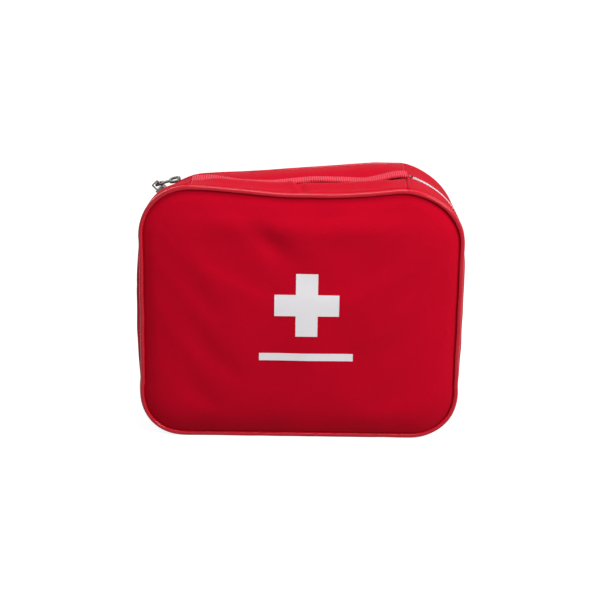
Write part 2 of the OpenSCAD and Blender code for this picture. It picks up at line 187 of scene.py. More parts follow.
# %% The filled sides, and the zip's valley
def swell(s, y):
    """How far the filled bag pushes the strip between the two pipings outwards."""
    place, _ = outline(s)
    x, z = place[..., 0], place[..., 1]
    right = 4.0 * MM * smooth(z, 8 * MM, 80 * MM) * (1 - 0.9 * smooth(z, 0.62 * height, 0.9 * height))
    left = 5.5 * MM * smooth(z, 8 * MM, 80 * MM) * (1 - smooth(z, 0.62 * height, 0.86 * height))
    across = np.clip(1 - (y / gusset_y) ** 2, 0, 1) ** 0.6
    return np.where(x > 0, right, left) * across


def corner_polar(p):
    """Angle up from the left, and distance, seen from the centre that the slider turns about."""
    dx, dz = p[..., 0] + flat_x, p[..., 2] - (height - corner_r)
    return np.arctan2(dz, -dx), np.hypot(dx, dz)


rail_s = np.linspace(walk_knots[5] - 20 * MM, walk_knots[6] + 60 * MM, 160)
rail_place = outline(rail_s, -swell(rail_s, 0))[0]
rail_turn, rail_far = corner_polar(sag(points_at(rail_place[:, 0], 0, rail_place[:, 1])))
rail_rest = np.interp(math.radians(45), rail_turn[::-1], rail_far[::-1])


def slump(points):
    """The sag, with the valley that keeps the zip at one distance from the slider's centre."""
    p = sag(points)
    turn, far = corner_polar(p)
    valley = np.interp(turn, rail_turn[::-1], rail_far[::-1]) - rail_rest
    valley *= smooth(turn, math.radians(-45), math.radians(-12))
    valley *= 1 - smooth(turn, math.radians(45), math.radians(65))
    valley *= 1 - smooth(np.abs(p[..., 1]), 7 * MM, 34 * MM)
    keep = 1 - valley / np.maximum(far, corner_r / 2)
    p[..., 0] = (p[..., 0] + flat_x) * keep - flat_x
    p[..., 2] = (p[..., 2] - (height - corner_r)) * keep + height - corner_r
    return p


print("the zip keeps", round(float(rail_rest) / MM, 1), "mm from the slider's centre")

# %% A smooth noise for creases
def creases(u, v, seed, size, layers=5):
    """Smooth noise between -1 and 1 from a few crossed waves, for cloth that is never quite even."""
    rng = np.random.default_rng(seed)
    total = np.zeros(np.broadcast(u, v).shape)
    for layer in range(layers):
        angle, phase = rng.uniform(0, 2 * math.pi, 2)
        wave = size / rng.uniform(0.7, 1.9)
        total += np.sin((u * math.cos(angle) + v * math.sin(angle)) * 2 * math.pi / wave + phase)
    return total / layers


print("creases at one point:", round(float(creases(0.0, 0.0, 3, 75 * MM)), 2))

# %% [markdown]
# ## Materials
# Shader maths is easier to read as Python expressions than as a list of nodes, so a small class wraps a
# socket and turns the operators into Math nodes. One method makes any other node.

# %% Shader helpers
class Wire:
    """A shader socket that takes +, -, *, / and a few named steps."""

    def __init__(self, finish, socket):
        self.finish = finish
        self.socket = socket

    def maths(self, operation, *values):
        return self.finish.node("ShaderNodeMath", {"operation": operation}, dict(enumerate(values)))

    def __add__(self, other):
        return self.maths("ADD", self, other)

    def __radd__(self, other):
        return self.maths("ADD", other, self)

    def __sub__(self, other):
        return self.maths("SUBTRACT", self, other)

    def __rsub__(self, other):
        return self.maths("SUBTRACT", other, self)

    def __mul__(self, other):
        return self.maths("MULTIPLY", self, other)

    def __rmul__(self, other):
        return self.maths("MULTIPLY", other, self)

    def __truediv__(self, other):
        return self.maths("DIVIDE", self, other)

    def sin(self):
        return self.maths("SINE", self)

    def part(self, name):
        """One number of a vector."""
        index = "XYZ".index(name)
        return self.finish.node("ShaderNodeSeparateXYZ", None, {0: self}, index)

    def scaled(self, factors):
        return self.finish.node("ShaderNodeVectorMath", {"operation": "MULTIPLY"},
                                {0: self, 1: factors})


class Finish:
    """One material: a Principled shader whose constant sockets are set and whose others are wired."""

    def __init__(self, name, **constants):
        self.material = bpy.data.materials.new(name)
        self.material.use_nodes = True
        self.tree = self.material.node_tree
        self.shader = next(n for n in self.tree.nodes if n.type == "BSDF_PRINCIPLED")
        for socket, value in constants.items():
            self.shader.inputs[socket.replace("_", " ")].default_value = value

    def node(self, kind, settings=None, inputs=None, output=0):
        made = self.tree.nodes.new(kind)
        for key, value in (settings or {}).items():
            setattr(made, key, value)
        for key, value in (inputs or {}).items():
            self.plug(made.inputs[key], value)
        return Wire(self, made.outputs[output])

    def plug(self, socket, value):
        if isinstance(value, Wire):
            self.tree.links.new(value.socket, socket)
        else:
            socket.default_value = value

    def set(self, socket, value):
        self.plug(self.shader.inputs[socket], value)

    def place(self):
        """The point on the object, in metres."""
        return self.node("ShaderNodeTexCoord", None, None, "Object")

    def cloth(self):
        """The piece's own UV map, in metres along and across the cloth."""
        return self.node("ShaderNodeUVMap", {"uv_map": "cloth"})

    def noise(self, vector, scale, detail=3.0):
        return self.node("ShaderNodeTexNoise", None, {
            "Vector": vector, "Scale": scale, "Detail": detail, "Roughness": 0.55})

    def tint(self, factor, low, high):
        """A colour between low and high."""
        return self.node("ShaderNodeMix", {"data_type": "RGBA"},
                         {0: factor, 6: (*low, 1), 7: (*high, 1)}, 2)

    def relief(self, height_wire, distance):
        self.set("Normal", self.node("ShaderNodeBump", None, {
            "Height": height_wire, "Distance": distance, "Strength": 1.0}))


print("shader helpers ready")

# %% [markdown]
# ### Woven cloth
# The bag is a coated polyester: a plain weave whose threads are well under a millimetre, with faint
# streaks where a thread is thicker. Two crossed waves on the cloth's own map make the weave, stretched
# noise makes the streaks, and a slow noise makes the tone uneven. The same recipe, with other numbers,
# gives the lining, the binding, the zip tape, the elastic, the gauze and the crepe bandage.

# %% Cloth finishes
def tone(colour, factor):
    return tuple(min(1.0, channel * factor) for channel in colour)


def woven(name, colour, thread, roughness=0.85, relief=0.12 * MM, streak=0.10, mottle=0.12,
          sheen=0.0, ribs=0.0, relief_shading=0.12):
    """A plain weave of threads that far apart. ribs above 0 turns it into cross ribs."""
    finish = Finish(name, Roughness=roughness, Sheen_Weight=sheen, Sheen_Roughness=0.45,
                    Specular_IOR_Level=0.03)
    cloth = finish.cloth()
    along = cloth.part("X") * (2 * math.pi / thread)
    across = cloth.part("Y") * (2 * math.pi / thread)
    weave = (along.sin() * across.sin()) * 0.5 + 0.5
    if ribs:
        weave = (along.sin() * 0.5 + 0.5) * ribs + weave * (1 - ribs)
    warp_streaks = finish.noise(cloth.scaled((0.12 / thread, 1.6 / thread, 1)), 1.0, 2.0)
    weft_streaks = finish.noise(cloth.scaled((1.6 / thread, 0.12 / thread, 1)), 1.0, 2.0)
    slow = finish.noise(finish.place(), 18.0, 3.0)
    shade = (warp_streaks + weft_streaks - 1.0) * streak * 2.0 + (slow - 0.5) * mottle * 2.0
    # Painted shade: the colour follows the weave's relief, paler on raised threads and ribs and darker in
    # the hollows between them.
    shade = shade + (weave - 0.5) * relief_shading + 0.5
    finish.set("Base Color", finish.tint(shade, tone(colour, 0.55), tone(colour, 1.45)))
    finish.set("Roughness", roughness + (slow - 0.5) * 0.12)
    finish.relief(weave + (warp_streaks + weft_streaks) * 0.6, relief)
    return finish.material


bag_red = (0.50, 0.0010, 0.015)
cloth_red = woven("bag_fabric", bag_red, 0.62 * MM, sheen=0.04)
lining_red = woven("lining_fabric", (0.30, 0.004, 0.014), 0.45 * MM, roughness=0.7)
binding_red = woven("binding_tape", (0.36, 0.004, 0.016), 0.8 * MM, ribs=0.7)
elastic_red = woven("ribbed_elastic", (0.33, 0.005, 0.016), 1.3 * MM, ribs=0.85, relief=0.3 * MM)
rib_pitch = 1.8 * MM
# Painted shade and highlight: strong colour ribs in step with the strap's modelled ribs, dark in the
# grooves between them and pale on their crests.
webbing_red = woven("handle_webbing", (0.66, 0.026, 0.055), rib_pitch, relief=0.4 * MM,
                    sheen=0.12, mottle=0.08, ribs=0.85, relief_shading=1.3)
tape_white = woven("zip_tape_knit", (0.80, 0.77, 0.78), 0.9 * MM, streak=0.03, mottle=0.04)
gauze_white = woven("gauze_weave", (0.82, 0.83, 0.82), 1.1 * MM, relief=0.35 * MM, streak=0.05,
                    mottle=0.05)
crepe_cream = woven("crepe_weave", (0.72, 0.58, 0.40), 1.4 * MM, ribs=0.6, relief=0.45 * MM,
                    streak=0.06)
print("cloth finishes:", len(bpy.data.materials))

# %% [markdown]
# ### Vinyl, nylon, metal and paper
# The piping is a soft vinyl with a narrow shine. The coil is milky nylon. The slider and tab are nickel
# with painted reflection: slow noise between a very dark and a pale tone stands in for a dark and light
# room mirrored in the metal. Print, paper, card and film need only slight unevenness.

# %% Hard and smooth finishes
def uneven(name, low, high, scale, roughness, spread=0.1, relief=0.0, **constants):
    """A smooth finish whose colour and shine change slowly between two tones."""
    finish = Finish(name, **constants)
    cloud = finish.noise(finish.place(), scale, 4.0)
    finish.set("Base Color", finish.tint(cloud, low, high))
    finish.set("Roughness", (cloud - 0.5) * spread * 2 + roughness)
    if relief:
        finish.relief(finish.noise(finish.place(), scale * 6, 2.0), relief)
    return finish.material


vinyl_red = uneven("piping_vinyl", (0.42, 0.0008, 0.011), (0.52, 0.0013, 0.016), 60, 0.14, spread=0.05,
                   relief=0.04 * MM, Specular_IOR_Level=0.22)
nylon_white = uneven("coil_nylon", (0.74, 0.73, 0.74), (0.86, 0.85, 0.86), 300, 0.35)
# Painted reflection: the very dark and pale tones stand in for a dark and light room mirrored in the
# metal.
nickel = uneven("nickel_painted_reflection", (0.01, 0.009, 0.009), (0.26, 0.24, 0.22), 240, 0.28, relief=0.05 * MM,
                Metallic=1.0)
steel = uneven("brushed_steel", (0.50, 0.50, 0.51), (0.68, 0.68, 0.69), 900, 0.30, Metallic=1.0)
print_white = uneven("white_print", (0.70, 0.68, 0.71), (0.76, 0.745, 0.77), 90, 0.62,
                     relief=0.06 * MM, Specular_IOR_Level=0.2)
paper_white = uneven("packet_paper", (0.76, 0.80, 0.82), (0.86, 0.88, 0.89), 40, 0.6,
                     relief=0.15 * MM)
card_white = uneven("carton_card", (0.80, 0.80, 0.79), (0.87, 0.87, 0.86), 30, 0.5,
                    relief=0.03 * MM)
film_silver = uneven("metallised_film", (0.60, 0.61, 0.63), (0.80, 0.81, 0.83), 50, 0.24,
                     relief=1.2 * MM, Metallic=1.0)
mark_green = uneven("printed_stripe", (0.02, 0.22, 0.14), (0.03, 0.27, 0.17), 60, 0.5)
thread_red = uneven("red_thread", (0.42, 0.004, 0.02), (0.60, 0.012, 0.035), 700, 0.6)
core_plastic = uneven("tape_core", (0.55, 0.62, 0.70), (0.62, 0.69, 0.76), 50, 0.4)
print("finishes in all:", len(bpy.data.materials))

# %% [markdown]
# ## Mesh helpers
# Most soft pieces are a grid of points: so many steps along, so many across. The helpers below turn a
# grid into an object at the origin with a cloth map in metres, point its faces away from the middle of
# the bag, and finish it with a thickness and one level of subdivision. The last one hides the nodes of
# the construction model that a piece stands for and rides the piece on the body that carries it.

# %% Grids and objects
bag_middle = Vector((0, 0, height / 2))
behind = (0, 1, height / 2)
end = {-1: "front", 1: "back"}


def grid(rows, columns):
    return np.meshgrid(rows, columns, indexing="ij")


def cloth_map(along, across):
    """Places on the flat cloth for a grid of points."""
    return np.stack(grid(along, across), -1)


def walked(path):
    """The length walked at each point of a path."""
    return np.concatenate([[0], np.cumsum(np.linalg.norm(np.diff(path, axis=0), axis=1))])


def grid_faces(rows, columns, closed_rows=False, closed_columns=False):
    """Quads of a grid whose points are numbered row by row."""
    faces = []
    for i in range(rows if closed_rows else rows - 1):
        for j in range(columns if closed_columns else columns - 1):
            a = i * columns + j
            b = i * columns + (j + 1) % columns
            c = ((i + 1) % rows) * columns + (j + 1) % columns
            d = ((i + 1) % rows) * columns + j
            faces.append((a, b, c, d))
    return faces


def add_object(name, data):
    made = bpy.data.objects.new(name, data)
    bpy.context.scene.collection.objects.link(made)
    return made


def new_object(name, points, faces, material, uv=None):
    """A mesh object at the origin. uv gives each point's place on the flat cloth, in metres."""
    mesh = bpy.data.meshes.new(name)
    mesh.from_pydata([tuple(p) for p in np.asarray(points).reshape(-1, 3)], [], faces)
    mesh.materials.append(material)
    flat = np.asarray(points).reshape(-1, 3)[:, [0, 2]] if uv is None else np.asarray(uv).reshape(-1, 2)
    layer = mesh.uv_layers.new(name="cloth")
    index = np.zeros(len(mesh.loops), int)
    mesh.loops.foreach_get("vertex_index", index)
    layer.data.foreach_set("uv", flat[index].astype(np.float32).ravel())
    mesh.polygons.foreach_set("use_smooth", [True] * len(mesh.polygons))
    return add_object(name, mesh)


print("a 3 x 3 grid has", len(grid_faces(3, 3)), "faces")

# %% Normals, thickness and roundness
def face_away(piece, middle=bag_middle):
    """Turns an open sheet's faces so that they point away from a middle."""
    facing = sum(face.normal.dot(face.center - Vector(middle)) * face.area
                 for face in piece.data.polygons)
    if facing < 0:
        piece.data.flip_normals()
    return piece


def close_faces(piece):
    """Makes a closed mesh's normals agree and point outwards."""
    work = bmesh.new()
    work.from_mesh(piece.data)
    bmesh.ops.recalc_face_normals(work, faces=work.faces)
    work.to_mesh(piece.data)
    work.free()
    return piece


def thicken(piece, thickness, inner=None, offset=-1):
    """Thickens a sheet inwards (offset -1), outwards (1) or both ways (0). inner lines it."""
    if inner:
        piece.data.materials.append(inner)
    solid = piece.modifiers.new("thickness", "SOLIDIFY")
    solid.thickness = thickness
    solid.offset = offset
    solid.use_even_offset = False
    solid.material_offset = 1 if inner else 0
    return piece


def subdivide(piece):
    rounded = piece.modifiers.new("subdivision", "SUBSURF")
    rounded.levels = 1
    rounded.render_levels = 1
    return piece


def belongs(piece, body, slot, *nodes):
    """Hides the CAD nodes that a piece stands for and rides the piece on a body. slot is not used."""
    if nodes:
        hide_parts(*nodes)
    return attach(piece, body)


print("faces turn away from", tuple(round(v / MM) for v in bag_middle), "mm")

# %% Tubes
def tangents(path, closed):
    """Directions along a path."""
    ahead = np.roll(path, -1, 0) - np.roll(path, 1, 0)
    if not closed:
        ahead[0] = path[1] - path[0]
        ahead[-1] = path[-1] - path[-2]
    ahead /= np.linalg.norm(ahead, axis=1)[:, None]
    return ahead


def tube(path, width, thickness, sides, closed, up):
    """Points of a tube with an oval section: width along up, thickness across it."""
    ahead = tangents(path, closed)
    up = np.broadcast_to(np.asarray(up, float), path.shape)
    up = up - (up * ahead).sum(1)[:, None] * ahead
    up /= np.linalg.norm(up, axis=1)[:, None]
    side = np.cross(ahead, up)
    angle = np.linspace(0, 2 * math.pi, sides, endpoint=False)
    return (path[:, None] + np.cos(angle)[None, :, None] * up[:, None] * np.reshape(width, (-1, 1, 1)) / 2
            + np.sin(angle)[None, :, None] * side[:, None] * np.reshape(thickness, (-1, 1, 1)) / 2)


def tube_object(name, path, width, thickness, material, sides=12, closed=False, up=(0, 1, 0)):
    """A tube along a path as an object, with its ends capped if it is open."""
    points = tube(path, width, thickness, sides, closed, up)
    rows = len(points)
    faces = grid_faces(rows, sides, closed, True)
    if not closed:
        faces += [tuple(range(sides)), tuple(range((rows - 1) * sides, rows * sides))]
    uv = cloth_map(walked(path), np.linspace(0, math.pi * np.mean(width), sides))
    return close_faces(new_object(name, points, faces, material, uv))


print("mesh helpers ready")

# %% [markdown]
# ## Padded covers
# Each cover is one padded cloth, sewn in all round under the piping. It starts as a flat sheet of even
# triangles that is slightly domed, and a short cloth simulation then fills it: the sewn edge is held,
# air pushes from inside, and gravity pulls the slack down. Even triangles crease in any direction, where
# a grid would crease along its lines. The result is capped, so the cover stays where the model has it.

# %% A short, capped cloth simulation
def simulate_cloth(piece, hold, cap, frames=20, stiffness=18.0):
    """Runs Cloth on the piece and writes the result into its mesh. hold is 1 where it is sewn."""
    start = np.array([v.co for v in piece.data.vertices])
    group = piece.vertex_groups.new(name="held")
    for number, weight in enumerate(hold):
        if weight > 0:
            group.add([number], float(weight), "REPLACE")
    cloth = piece.modifiers.new("fill", "CLOTH")
    settings = {"quality": 6, "mass": 0.15, "tension_stiffness": stiffness,
                "compression_stiffness": stiffness, "shear_stiffness": stiffness / 3,
                "bending_stiffness": 6.0, "air_damping": 4, "vertex_group_mass": "held",
                "use_pressure": True, "uniform_pressure_force": 2.8}
    for key, value in settings.items():
        setattr(cloth.settings, key, value)
    cloth.settings.effector_weights.gravity = 0.3
    cloth.collision_settings.use_collision = False
    cloth.point_cache.frame_end = frames
    scene = bpy.context.scene
    for frame_number in range(1, frames + 1):
        scene.frame_set(frame_number)
    evaluated = piece.evaluated_get(bpy.context.evaluated_depsgraph_get())
    after = np.array([v.co for v in evaluated.data.vertices])
    piece.modifiers.remove(cloth)
    piece.vertex_groups.remove(group)
    scene.frame_set(1)
    moved = after - start
    length = np.linalg.norm(moved, axis=1)
    limit = cap * np.tanh(length / cap) / np.maximum(length, 1e-9) * (1 - np.asarray(hold))
    piece.data.vertices.foreach_set("co", (start + moved * limit[:, None]).astype(np.float32).ravel())
    piece.data.update()
    print(piece.name, "moved up to", round(float((length * limit).max()) / MM, 2), "mm")
    return piece


# %% Build the front and back covers
welt_r = 0.82 * piping_r
cover_inset = 2 * welt_r - 1.2 * MM
cover_spacing = 4.0 * MM
cover_crown = 8.5 * MM
cover_edge_reach = 10.0 * MM


def inset_of(x, z):
    """How far inside the outline a point lies."""
    across = np.abs(x) - flat_x
    up = np.abs(z - height / 2) - flat_z
    outside = np.hypot(np.maximum(across, 0), np.maximum(up, 0))
    return corner_r - outside - np.minimum(np.maximum(across, up), 0)


def cover(name, side, seed):
    """A padded cover on the front (side -1) or the back (side 1)."""
    edge_count = int(girth / cover_spacing)
    edge, _ = outline(np.linspace(0, girth, edge_count, endpoint=False), np.full(edge_count, cover_inset))
    row_step = cover_spacing * math.sqrt(3) / 2
    inner = []
    for row, z in enumerate(np.arange(0, height, row_step)):
        shift = (row % 2) * cover_spacing / 2
        for x in np.arange(-half_w + shift, half_w, cover_spacing):
            if inset_of(x, z) > cover_inset + 0.6 * cover_spacing:
                inner.append((x, z))
    flat = [Vector(p) for p in edge] + [Vector(p) for p in inner]
    loop = [(i, (i + 1) % edge_count) for i in range(edge_count)]
    points, _, faces, _, _, _ = geometry.delaunay_2d_cdt(flat, loop, [], 1, 1e-7)
    points = np.array([tuple(p) for p in points])
    px, pz = points.T
    depth = inset_of(px, pz) - cover_inset
    reach = cover_edge_reach + 7 * MM * smooth(pz, height - 60 * MM, height)
    dome = cover_crown * (1 - np.exp(-np.maximum(depth - 0.8 * MM, 0) / reach)) - 1.5 * MM
    away = seam_y + dome + 0.45 * MM * creases(px, pz, seed, 75 * MM) * smooth(depth, 0, 20 * MM)
    if side < 0:
        from_top = height - pz
        slant = px + 26 * MM - 0.7 * (from_top - 38 * MM)
        hollow = 2.6 * MM * np.exp(-(slant / (12 * MM)) ** 2 - ((from_top - 40 * MM) / (16 * MM)) ** 2)
        slant = px - 15 * MM + 0.5 * (from_top - 20 * MM)
        hollow += 1.6 * MM * np.exp(-(slant / (11 * MM)) ** 2 - ((from_top - 22 * MM) / (12 * MM)) ** 2)
        ridge = 2.0 * MM * bell(from_top - 27 * MM, 11 * MM)
        hollow -= ridge * (1 - smooth(np.abs(px + 4 * MM), 45 * MM, 95 * MM))
        away -= hollow * smooth(depth, 0, 12 * MM)
    piece = new_object(name, slump(points_at(px, side * away, pz)), faces, cloth_red, points)
    face_away(piece)
    hold = 1 - smooth(depth, 3 * MM, 15 * MM)
    simulate_cloth(piece, hold, cap=1.0 * MM)
    thicken(piece, 1.0 * MM, inner=lining_red)
    subdivide(piece)
    return belongs(piece, end[side] + "_shell", "bag_fabric", end[side] + "_panel")


front_cover = cover("front_cover", -1, 3)
back_cover = cover("back_cover", 1, 8)
print("cover points:", len(front_cover.data.vertices))

# %% [markdown]
# ## Piping
# The welt is a cord in a vinyl sleeve, sewn in between cover and gusset all the way round. It is a tube
# swept along the outline at the seam plane, with a little unevenness where the sleeve was pulled round
# the corners.

# %% Build the two pipings
def piping(name, side, seed):
    count = int(girth / (3 * MM))
    s = np.linspace(0, girth, count, endpoint=False)
    wobble = 0.25 * MM * creases(s, 0 * s, seed, 60 * MM)
    place, _ = outline(s, welt_r + wobble)
    path = slump(points_at(place[:, 0], side * seam_y, place[:, 1]))
    path[:, 2] = np.maximum(path[:, 2], welt_r)
    size = 2 * welt_r * (1 + 0.04 * creases(s, 0 * s, seed + 1, 25 * MM))
    piece = tube_object(name, path, size, size, vinyl_red, sides=14, closed=True)
    return belongs(piece, end[side] + "_shell", "piping", end[side] + "_piping")


piping("front_piping_welt", -1, 21)
piping("back_piping_welt", 1, 22)
print("piping is", round(2 * welt_r / MM, 1), "mm thick")

# %% [markdown]
# ## Gussets
# A gusset is a long strip: it tucks in under the piping, swells a little, and folds under along the zip
# slot to make the hem. Each is swept along the outline as rows of a short profile. The front gusset is
# sewn to the top panel at both cross seams, so it has to twist there when the front opens: it is made
# in two halves.

# %% Build the gussets
hem_depth = 7 * MM
fold_start = 0.55 * seam_y
fold_end = 0.97 * seam_y
twist_sideways = np.array([7, 0, -6]) * MM
fold_run = fold_end - fold_start
twist_forward = fold_run / 2 + math.sqrt(max(fold_run ** 2 / 4 - (twist_sideways ** 2).sum(), 0))


def fold_front(piece):
    """Bakes the transform of a piece on the top into its mesh."""
    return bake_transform(piece, "back_shell", "front_shell", start=(0, -fold_start, height),
                    end=(0, -fold_end, height))


def twist_front(piece, side):
    """Bakes the transform of a strip of the front shell into its mesh. The twist's start and end are
    worked out but not used.
    """
    seam_top = height - corner_r + math.sqrt(corner_r ** 2 - (seam_x - flat_x) ** 2)
    start = slump(np.array([side * seam_x, -fold_start, seam_top]))
    end = start + twist_sideways * (side, 1, 1) + np.array([0, -twist_forward, 0])
    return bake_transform(piece)


def strip_rows(s, profile, side):
    """Sweeps profile points (inset, y) along lengths s, swells and slumps them."""
    rows = []
    for inset, y in profile:
        place, _ = outline(s, inset - swell(s, y))
        rows.append(points_at(place[:, 0], side * y, place[:, 1]))
    return slump(np.stack(rows, 1))


def gusset(name, side, s0, s1, seed):
    lapped = s1 == 0
    s1 += 5 * MM if lapped else 1.6 * MM
    s0 -= 1.6 * MM if s0 else 0
    count = int(abs(s1 - s0) / (4 * MM))
    s = np.linspace(s0, s1, count)
    lap = 0.9 * MM * smooth(s, -8 * MM, -2 * MM) if lapped else 0
    span = gusset_y - slot_y
    above_floor = smooth(outline(s)[0][:, 1], 2 * MM, 30 * MM)
    profile = [(3.0 * MM, seam_y - 0.4 * MM), (2.1 * MM, gusset_y + 0.7 * MM),
               (0.7 * MM, gusset_y - 0.6 * MM)]
    for t in np.linspace(0.05, 0.97, 10):
        y = gusset_y - t * span
        pucker = 0.45 * MM * creases(s, y + 0 * s, seed, 38 * MM) * math.sin(math.pi * t) ** 0.5
        ripple = 0.30 * MM * creases(s, 0 * s, seed + 5, 11 * MM) * math.exp(-t / 0.12)
        profile.append((-(pucker + ripple) * above_floor, y))
    profile += [(0.35 * MM, slot_y), (0.8 * MM, slot_y + 0.1 * MM),
                (1.2 * MM, slot_y + 1.2 * MM), (1.3 * MM, slot_y + hem_depth)]
    profile = [(inset + lap, y) for inset, y in profile]
    rows = strip_rows(s, profile, side)
    uv = cloth_map(s, [y for _, y in profile])
    piece = new_object(name, rows, grid_faces(count, len(profile)), cloth_red, uv)
    face_away(piece)
    thicken(piece, 0.6 * MM, inner=lining_red)
    subdivide(piece)
    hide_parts(end[side] + "_gusset", end[side] + "_zip_hem")
    return piece


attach(gusset("back_gusset_cloth", 1, -seam_s, seam_s, 31), "back_shell")
twist_front(gusset("front_gusset_right", -1, 0, seam_s, 32), 1)
twist_front(gusset("front_gusset_left", -1, -seam_s, 0, 32), -1)
print("gusset strips run", round(2 * seam_s / MM), "mm")

# %% [markdown]
# ## Zip
# Behind each hem lies a white tape with a coil of nylon wire along its edge. The tape is a flat strip.
# The coil is hundreds of equal loops, which is a job for Geometry Nodes: a path is resampled to the
# coil's pitch and a small wire loop is set on every point, square to the path.

# %% Paths that a tree can walk
def path_object(name, polylines):
    """An object of plain edges, for Geometry Nodes to walk."""
    points, edges = [], []
    for line in polylines:
        first = len(points)
        points += [tuple(p) for p in line]
        edges += [(first + i, first + i + 1) for i in range(len(line) - 1)]
    mesh = bpy.data.meshes.new(name)
    mesh.from_pydata(points, edges, [])
    return add_object(name, mesh)


print("a node tree walks a mesh of plain edges")

# %% One node tree that sets equal pieces along a path
def along_path_tree(name, unit):
    """A tree that repeats a unit, 'loop' or 'stitch', along the input's edges."""
    tree = bpy.data.node_groups.new(name, "GeometryNodeTree")
    face = tree.interface
    inputs = {"Geometry": "Geometry", "Pitch": "Float", "Length": "Float", "Width": "Float",
              "Wire": "Float", "Seed": "Int", "Material": "Material"}
    for label, kind in inputs.items():
        face.new_socket(label, in_out="INPUT", socket_type="NodeSocket" + kind)
    face.new_socket("Geometry", in_out="OUTPUT", socket_type="NodeSocketGeometry")

    def add(kind, settings=None, **inputs):
        made = tree.nodes.new(kind)
        for key, value in (settings or {}).items():
            setattr(made, key, value)
        for key, value in inputs.items():
            socket = made.inputs[key.replace("_", " ")]
            if isinstance(value, bpy.types.NodeSocket):
                tree.links.new(value, socket)
            else:
                socket.default_value = value
        return made

    given = add("NodeGroupInput").outputs
    curve = add("GeometryNodeMeshToCurve", Mesh=given["Geometry"]).outputs[0]
    points = add("GeometryNodeResampleCurve", {"mode": "LENGTH"}, Curve=curve,
                 Length=given["Pitch"]).outputs[0]
    turn = add("FunctionNodeAlignRotationToVector", {"axis": "Z"},
               Vector=add("GeometryNodeInputTangent").outputs[0]).outputs[0]
    if unit == "loop":
        ring = add("GeometryNodeCurvePrimitiveCircle", Resolution=8, Radius=given["Width"])
        wire = add("GeometryNodeCurvePrimitiveCircle", Resolution=5, Radius=given["Wire"])
        shape = add("GeometryNodeCurveToMesh", Curve=ring.outputs[0],
                    Profile_Curve=wire.outputs[0]).outputs[0]
    else:
        ball = add("GeometryNodeMeshUVSphere", Segments=6, Rings=6, Radius=1.0).outputs[0]
        size = add("ShaderNodeCombineXYZ", X=given["Width"], Y=given["Wire"], Z=given["Length"])
        shape = add("GeometryNodeTransform", Geometry=ball, Scale=size.outputs[0]).outputs[0]
    vary = add("FunctionNodeRandomValue", {"data_type": "FLOAT"}, Seed=given["Seed"])
    vary.inputs[2].default_value = 0.94
    vary.inputs[3].default_value = 1.06
    placed = add("GeometryNodeInstanceOnPoints", Points=points, Instance=shape, Rotation=turn,
                 Scale=vary.outputs[1]).outputs[0]
    real = add("GeometryNodeRealizeInstances", Geometry=placed).outputs[0]
    soft = add("GeometryNodeSetShadeSmooth", Geometry=real).outputs[0]
    done = add("GeometryNodeSetMaterial", Geometry=soft, Material=given["Material"]).outputs[0]
    result = tree.nodes.new("NodeGroupOutput")
    tree.links.new(done, result.inputs[0])
    return tree


coil_tree = along_path_tree("coil_loops", "loop")
stitch_tree = along_path_tree("stitches", "stitch")
print("nodes in the coil's tree:", len(coil_tree.nodes), "and in the stitches':", len(stitch_tree.nodes))

# %% Run a tree into one plain mesh
def run_tree(name, tree, polylines, material, **sizes):
    """Runs a tree on some paths and returns the result as one plain mesh object."""
    source = path_object(name + "_path", polylines)
    modifier = source.modifiers.new("repeat", "NODES")
    modifier.node_group = tree
    values = {**sizes, "Material": material}
    for item in tree.interface.items_tree:
        if item.in_out == "INPUT" and item.name in values:
            modifier[item.identifier] = values[item.name]
    graph = bpy.context.evaluated_depsgraph_get()
    mesh = bpy.data.meshes.new_from_object(source.evaluated_get(graph))
    bpy.data.objects.remove(source)
    mesh.name = name
    return add_object(name, mesh)


print("inputs of a tree:", [item.name for item in coil_tree.interface.items_tree][1:])

# %% [markdown]
# The real tape is knitted and lies flat under the hem, but in the slot it rises until its coil is level
# with the cloth. So it is a strip with a stepped profile, and the coil follows the same path outside it.

# %% Build the tapes and coils
coil_pitch = 1.35 * MM
coil_radius = 1.0 * MM
coil_y = coil_radius + 0.08 * MM
coil_depth = 0.55 * MM
coil_end = seam_s - 4 * MM
tape_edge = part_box("back_zip_tape")


def tape_rise(y):
    """Depth of the tape: it lies under the hem, and rises in the slot towards the coil."""
    return tape_depth - 1.45 * MM * (1 - smooth(y, 2.5 * MM, 7.5 * MM))


def tape(name, side, s0, s1):
    count = int(abs(s1 - s0) / (5 * MM))
    s = np.linspace(s0, s1, count)
    profile = [(tape_rise(y), y) for y in np.linspace(tape_edge[0].y, tape_edge[1].y, 9)]
    uv = cloth_map(s, [y for _, y in profile])
    piece = new_object(name, strip_rows(s, profile, side), grid_faces(count, 9), tape_white, uv)
    thicken(face_away(piece), 0.5 * MM)
    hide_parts(end[side] + "_zip_tape")
    return piece


def coil(name, side, s0, s1):
    s = np.linspace(s0, s1, int(abs(s1 - s0) / (2 * MM)))
    path = strip_rows(s, [(coil_depth, coil_y)], side)[:, 0]
    piece = run_tree(name, coil_tree, [path], nylon_white, Pitch=coil_pitch, Length=1.0,
                     Width=coil_radius - 0.32 * MM, Wire=0.32 * MM, Seed=4)
    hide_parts(end[side] + "_zip_coil")
    return piece


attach(tape("back_zip_tape_cloth", 1, -seam_s, seam_s), "back_shell")
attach(coil("back_zip_coil_loops", 1, -coil_end, coil_end), "back_shell")
for side, word in ((1, "right"), (-1, "left")):
    twist_front(tape("front_zip_tape_" + word, -1, *sorted((0, side * seam_s))), side)
    twist_front(coil("front_zip_coil_" + word, -1, *sorted((0, side * coil_end))), side)
print("coil loops on one side:", round(2 * coil_end / coil_pitch))

# %% [markdown]
# ## Top panel, cross seams and handle
# The top panel is a plain cloth between the two cross seams. It tucks in under both pipings, dips under
# the strap and has one short crease in front of it.

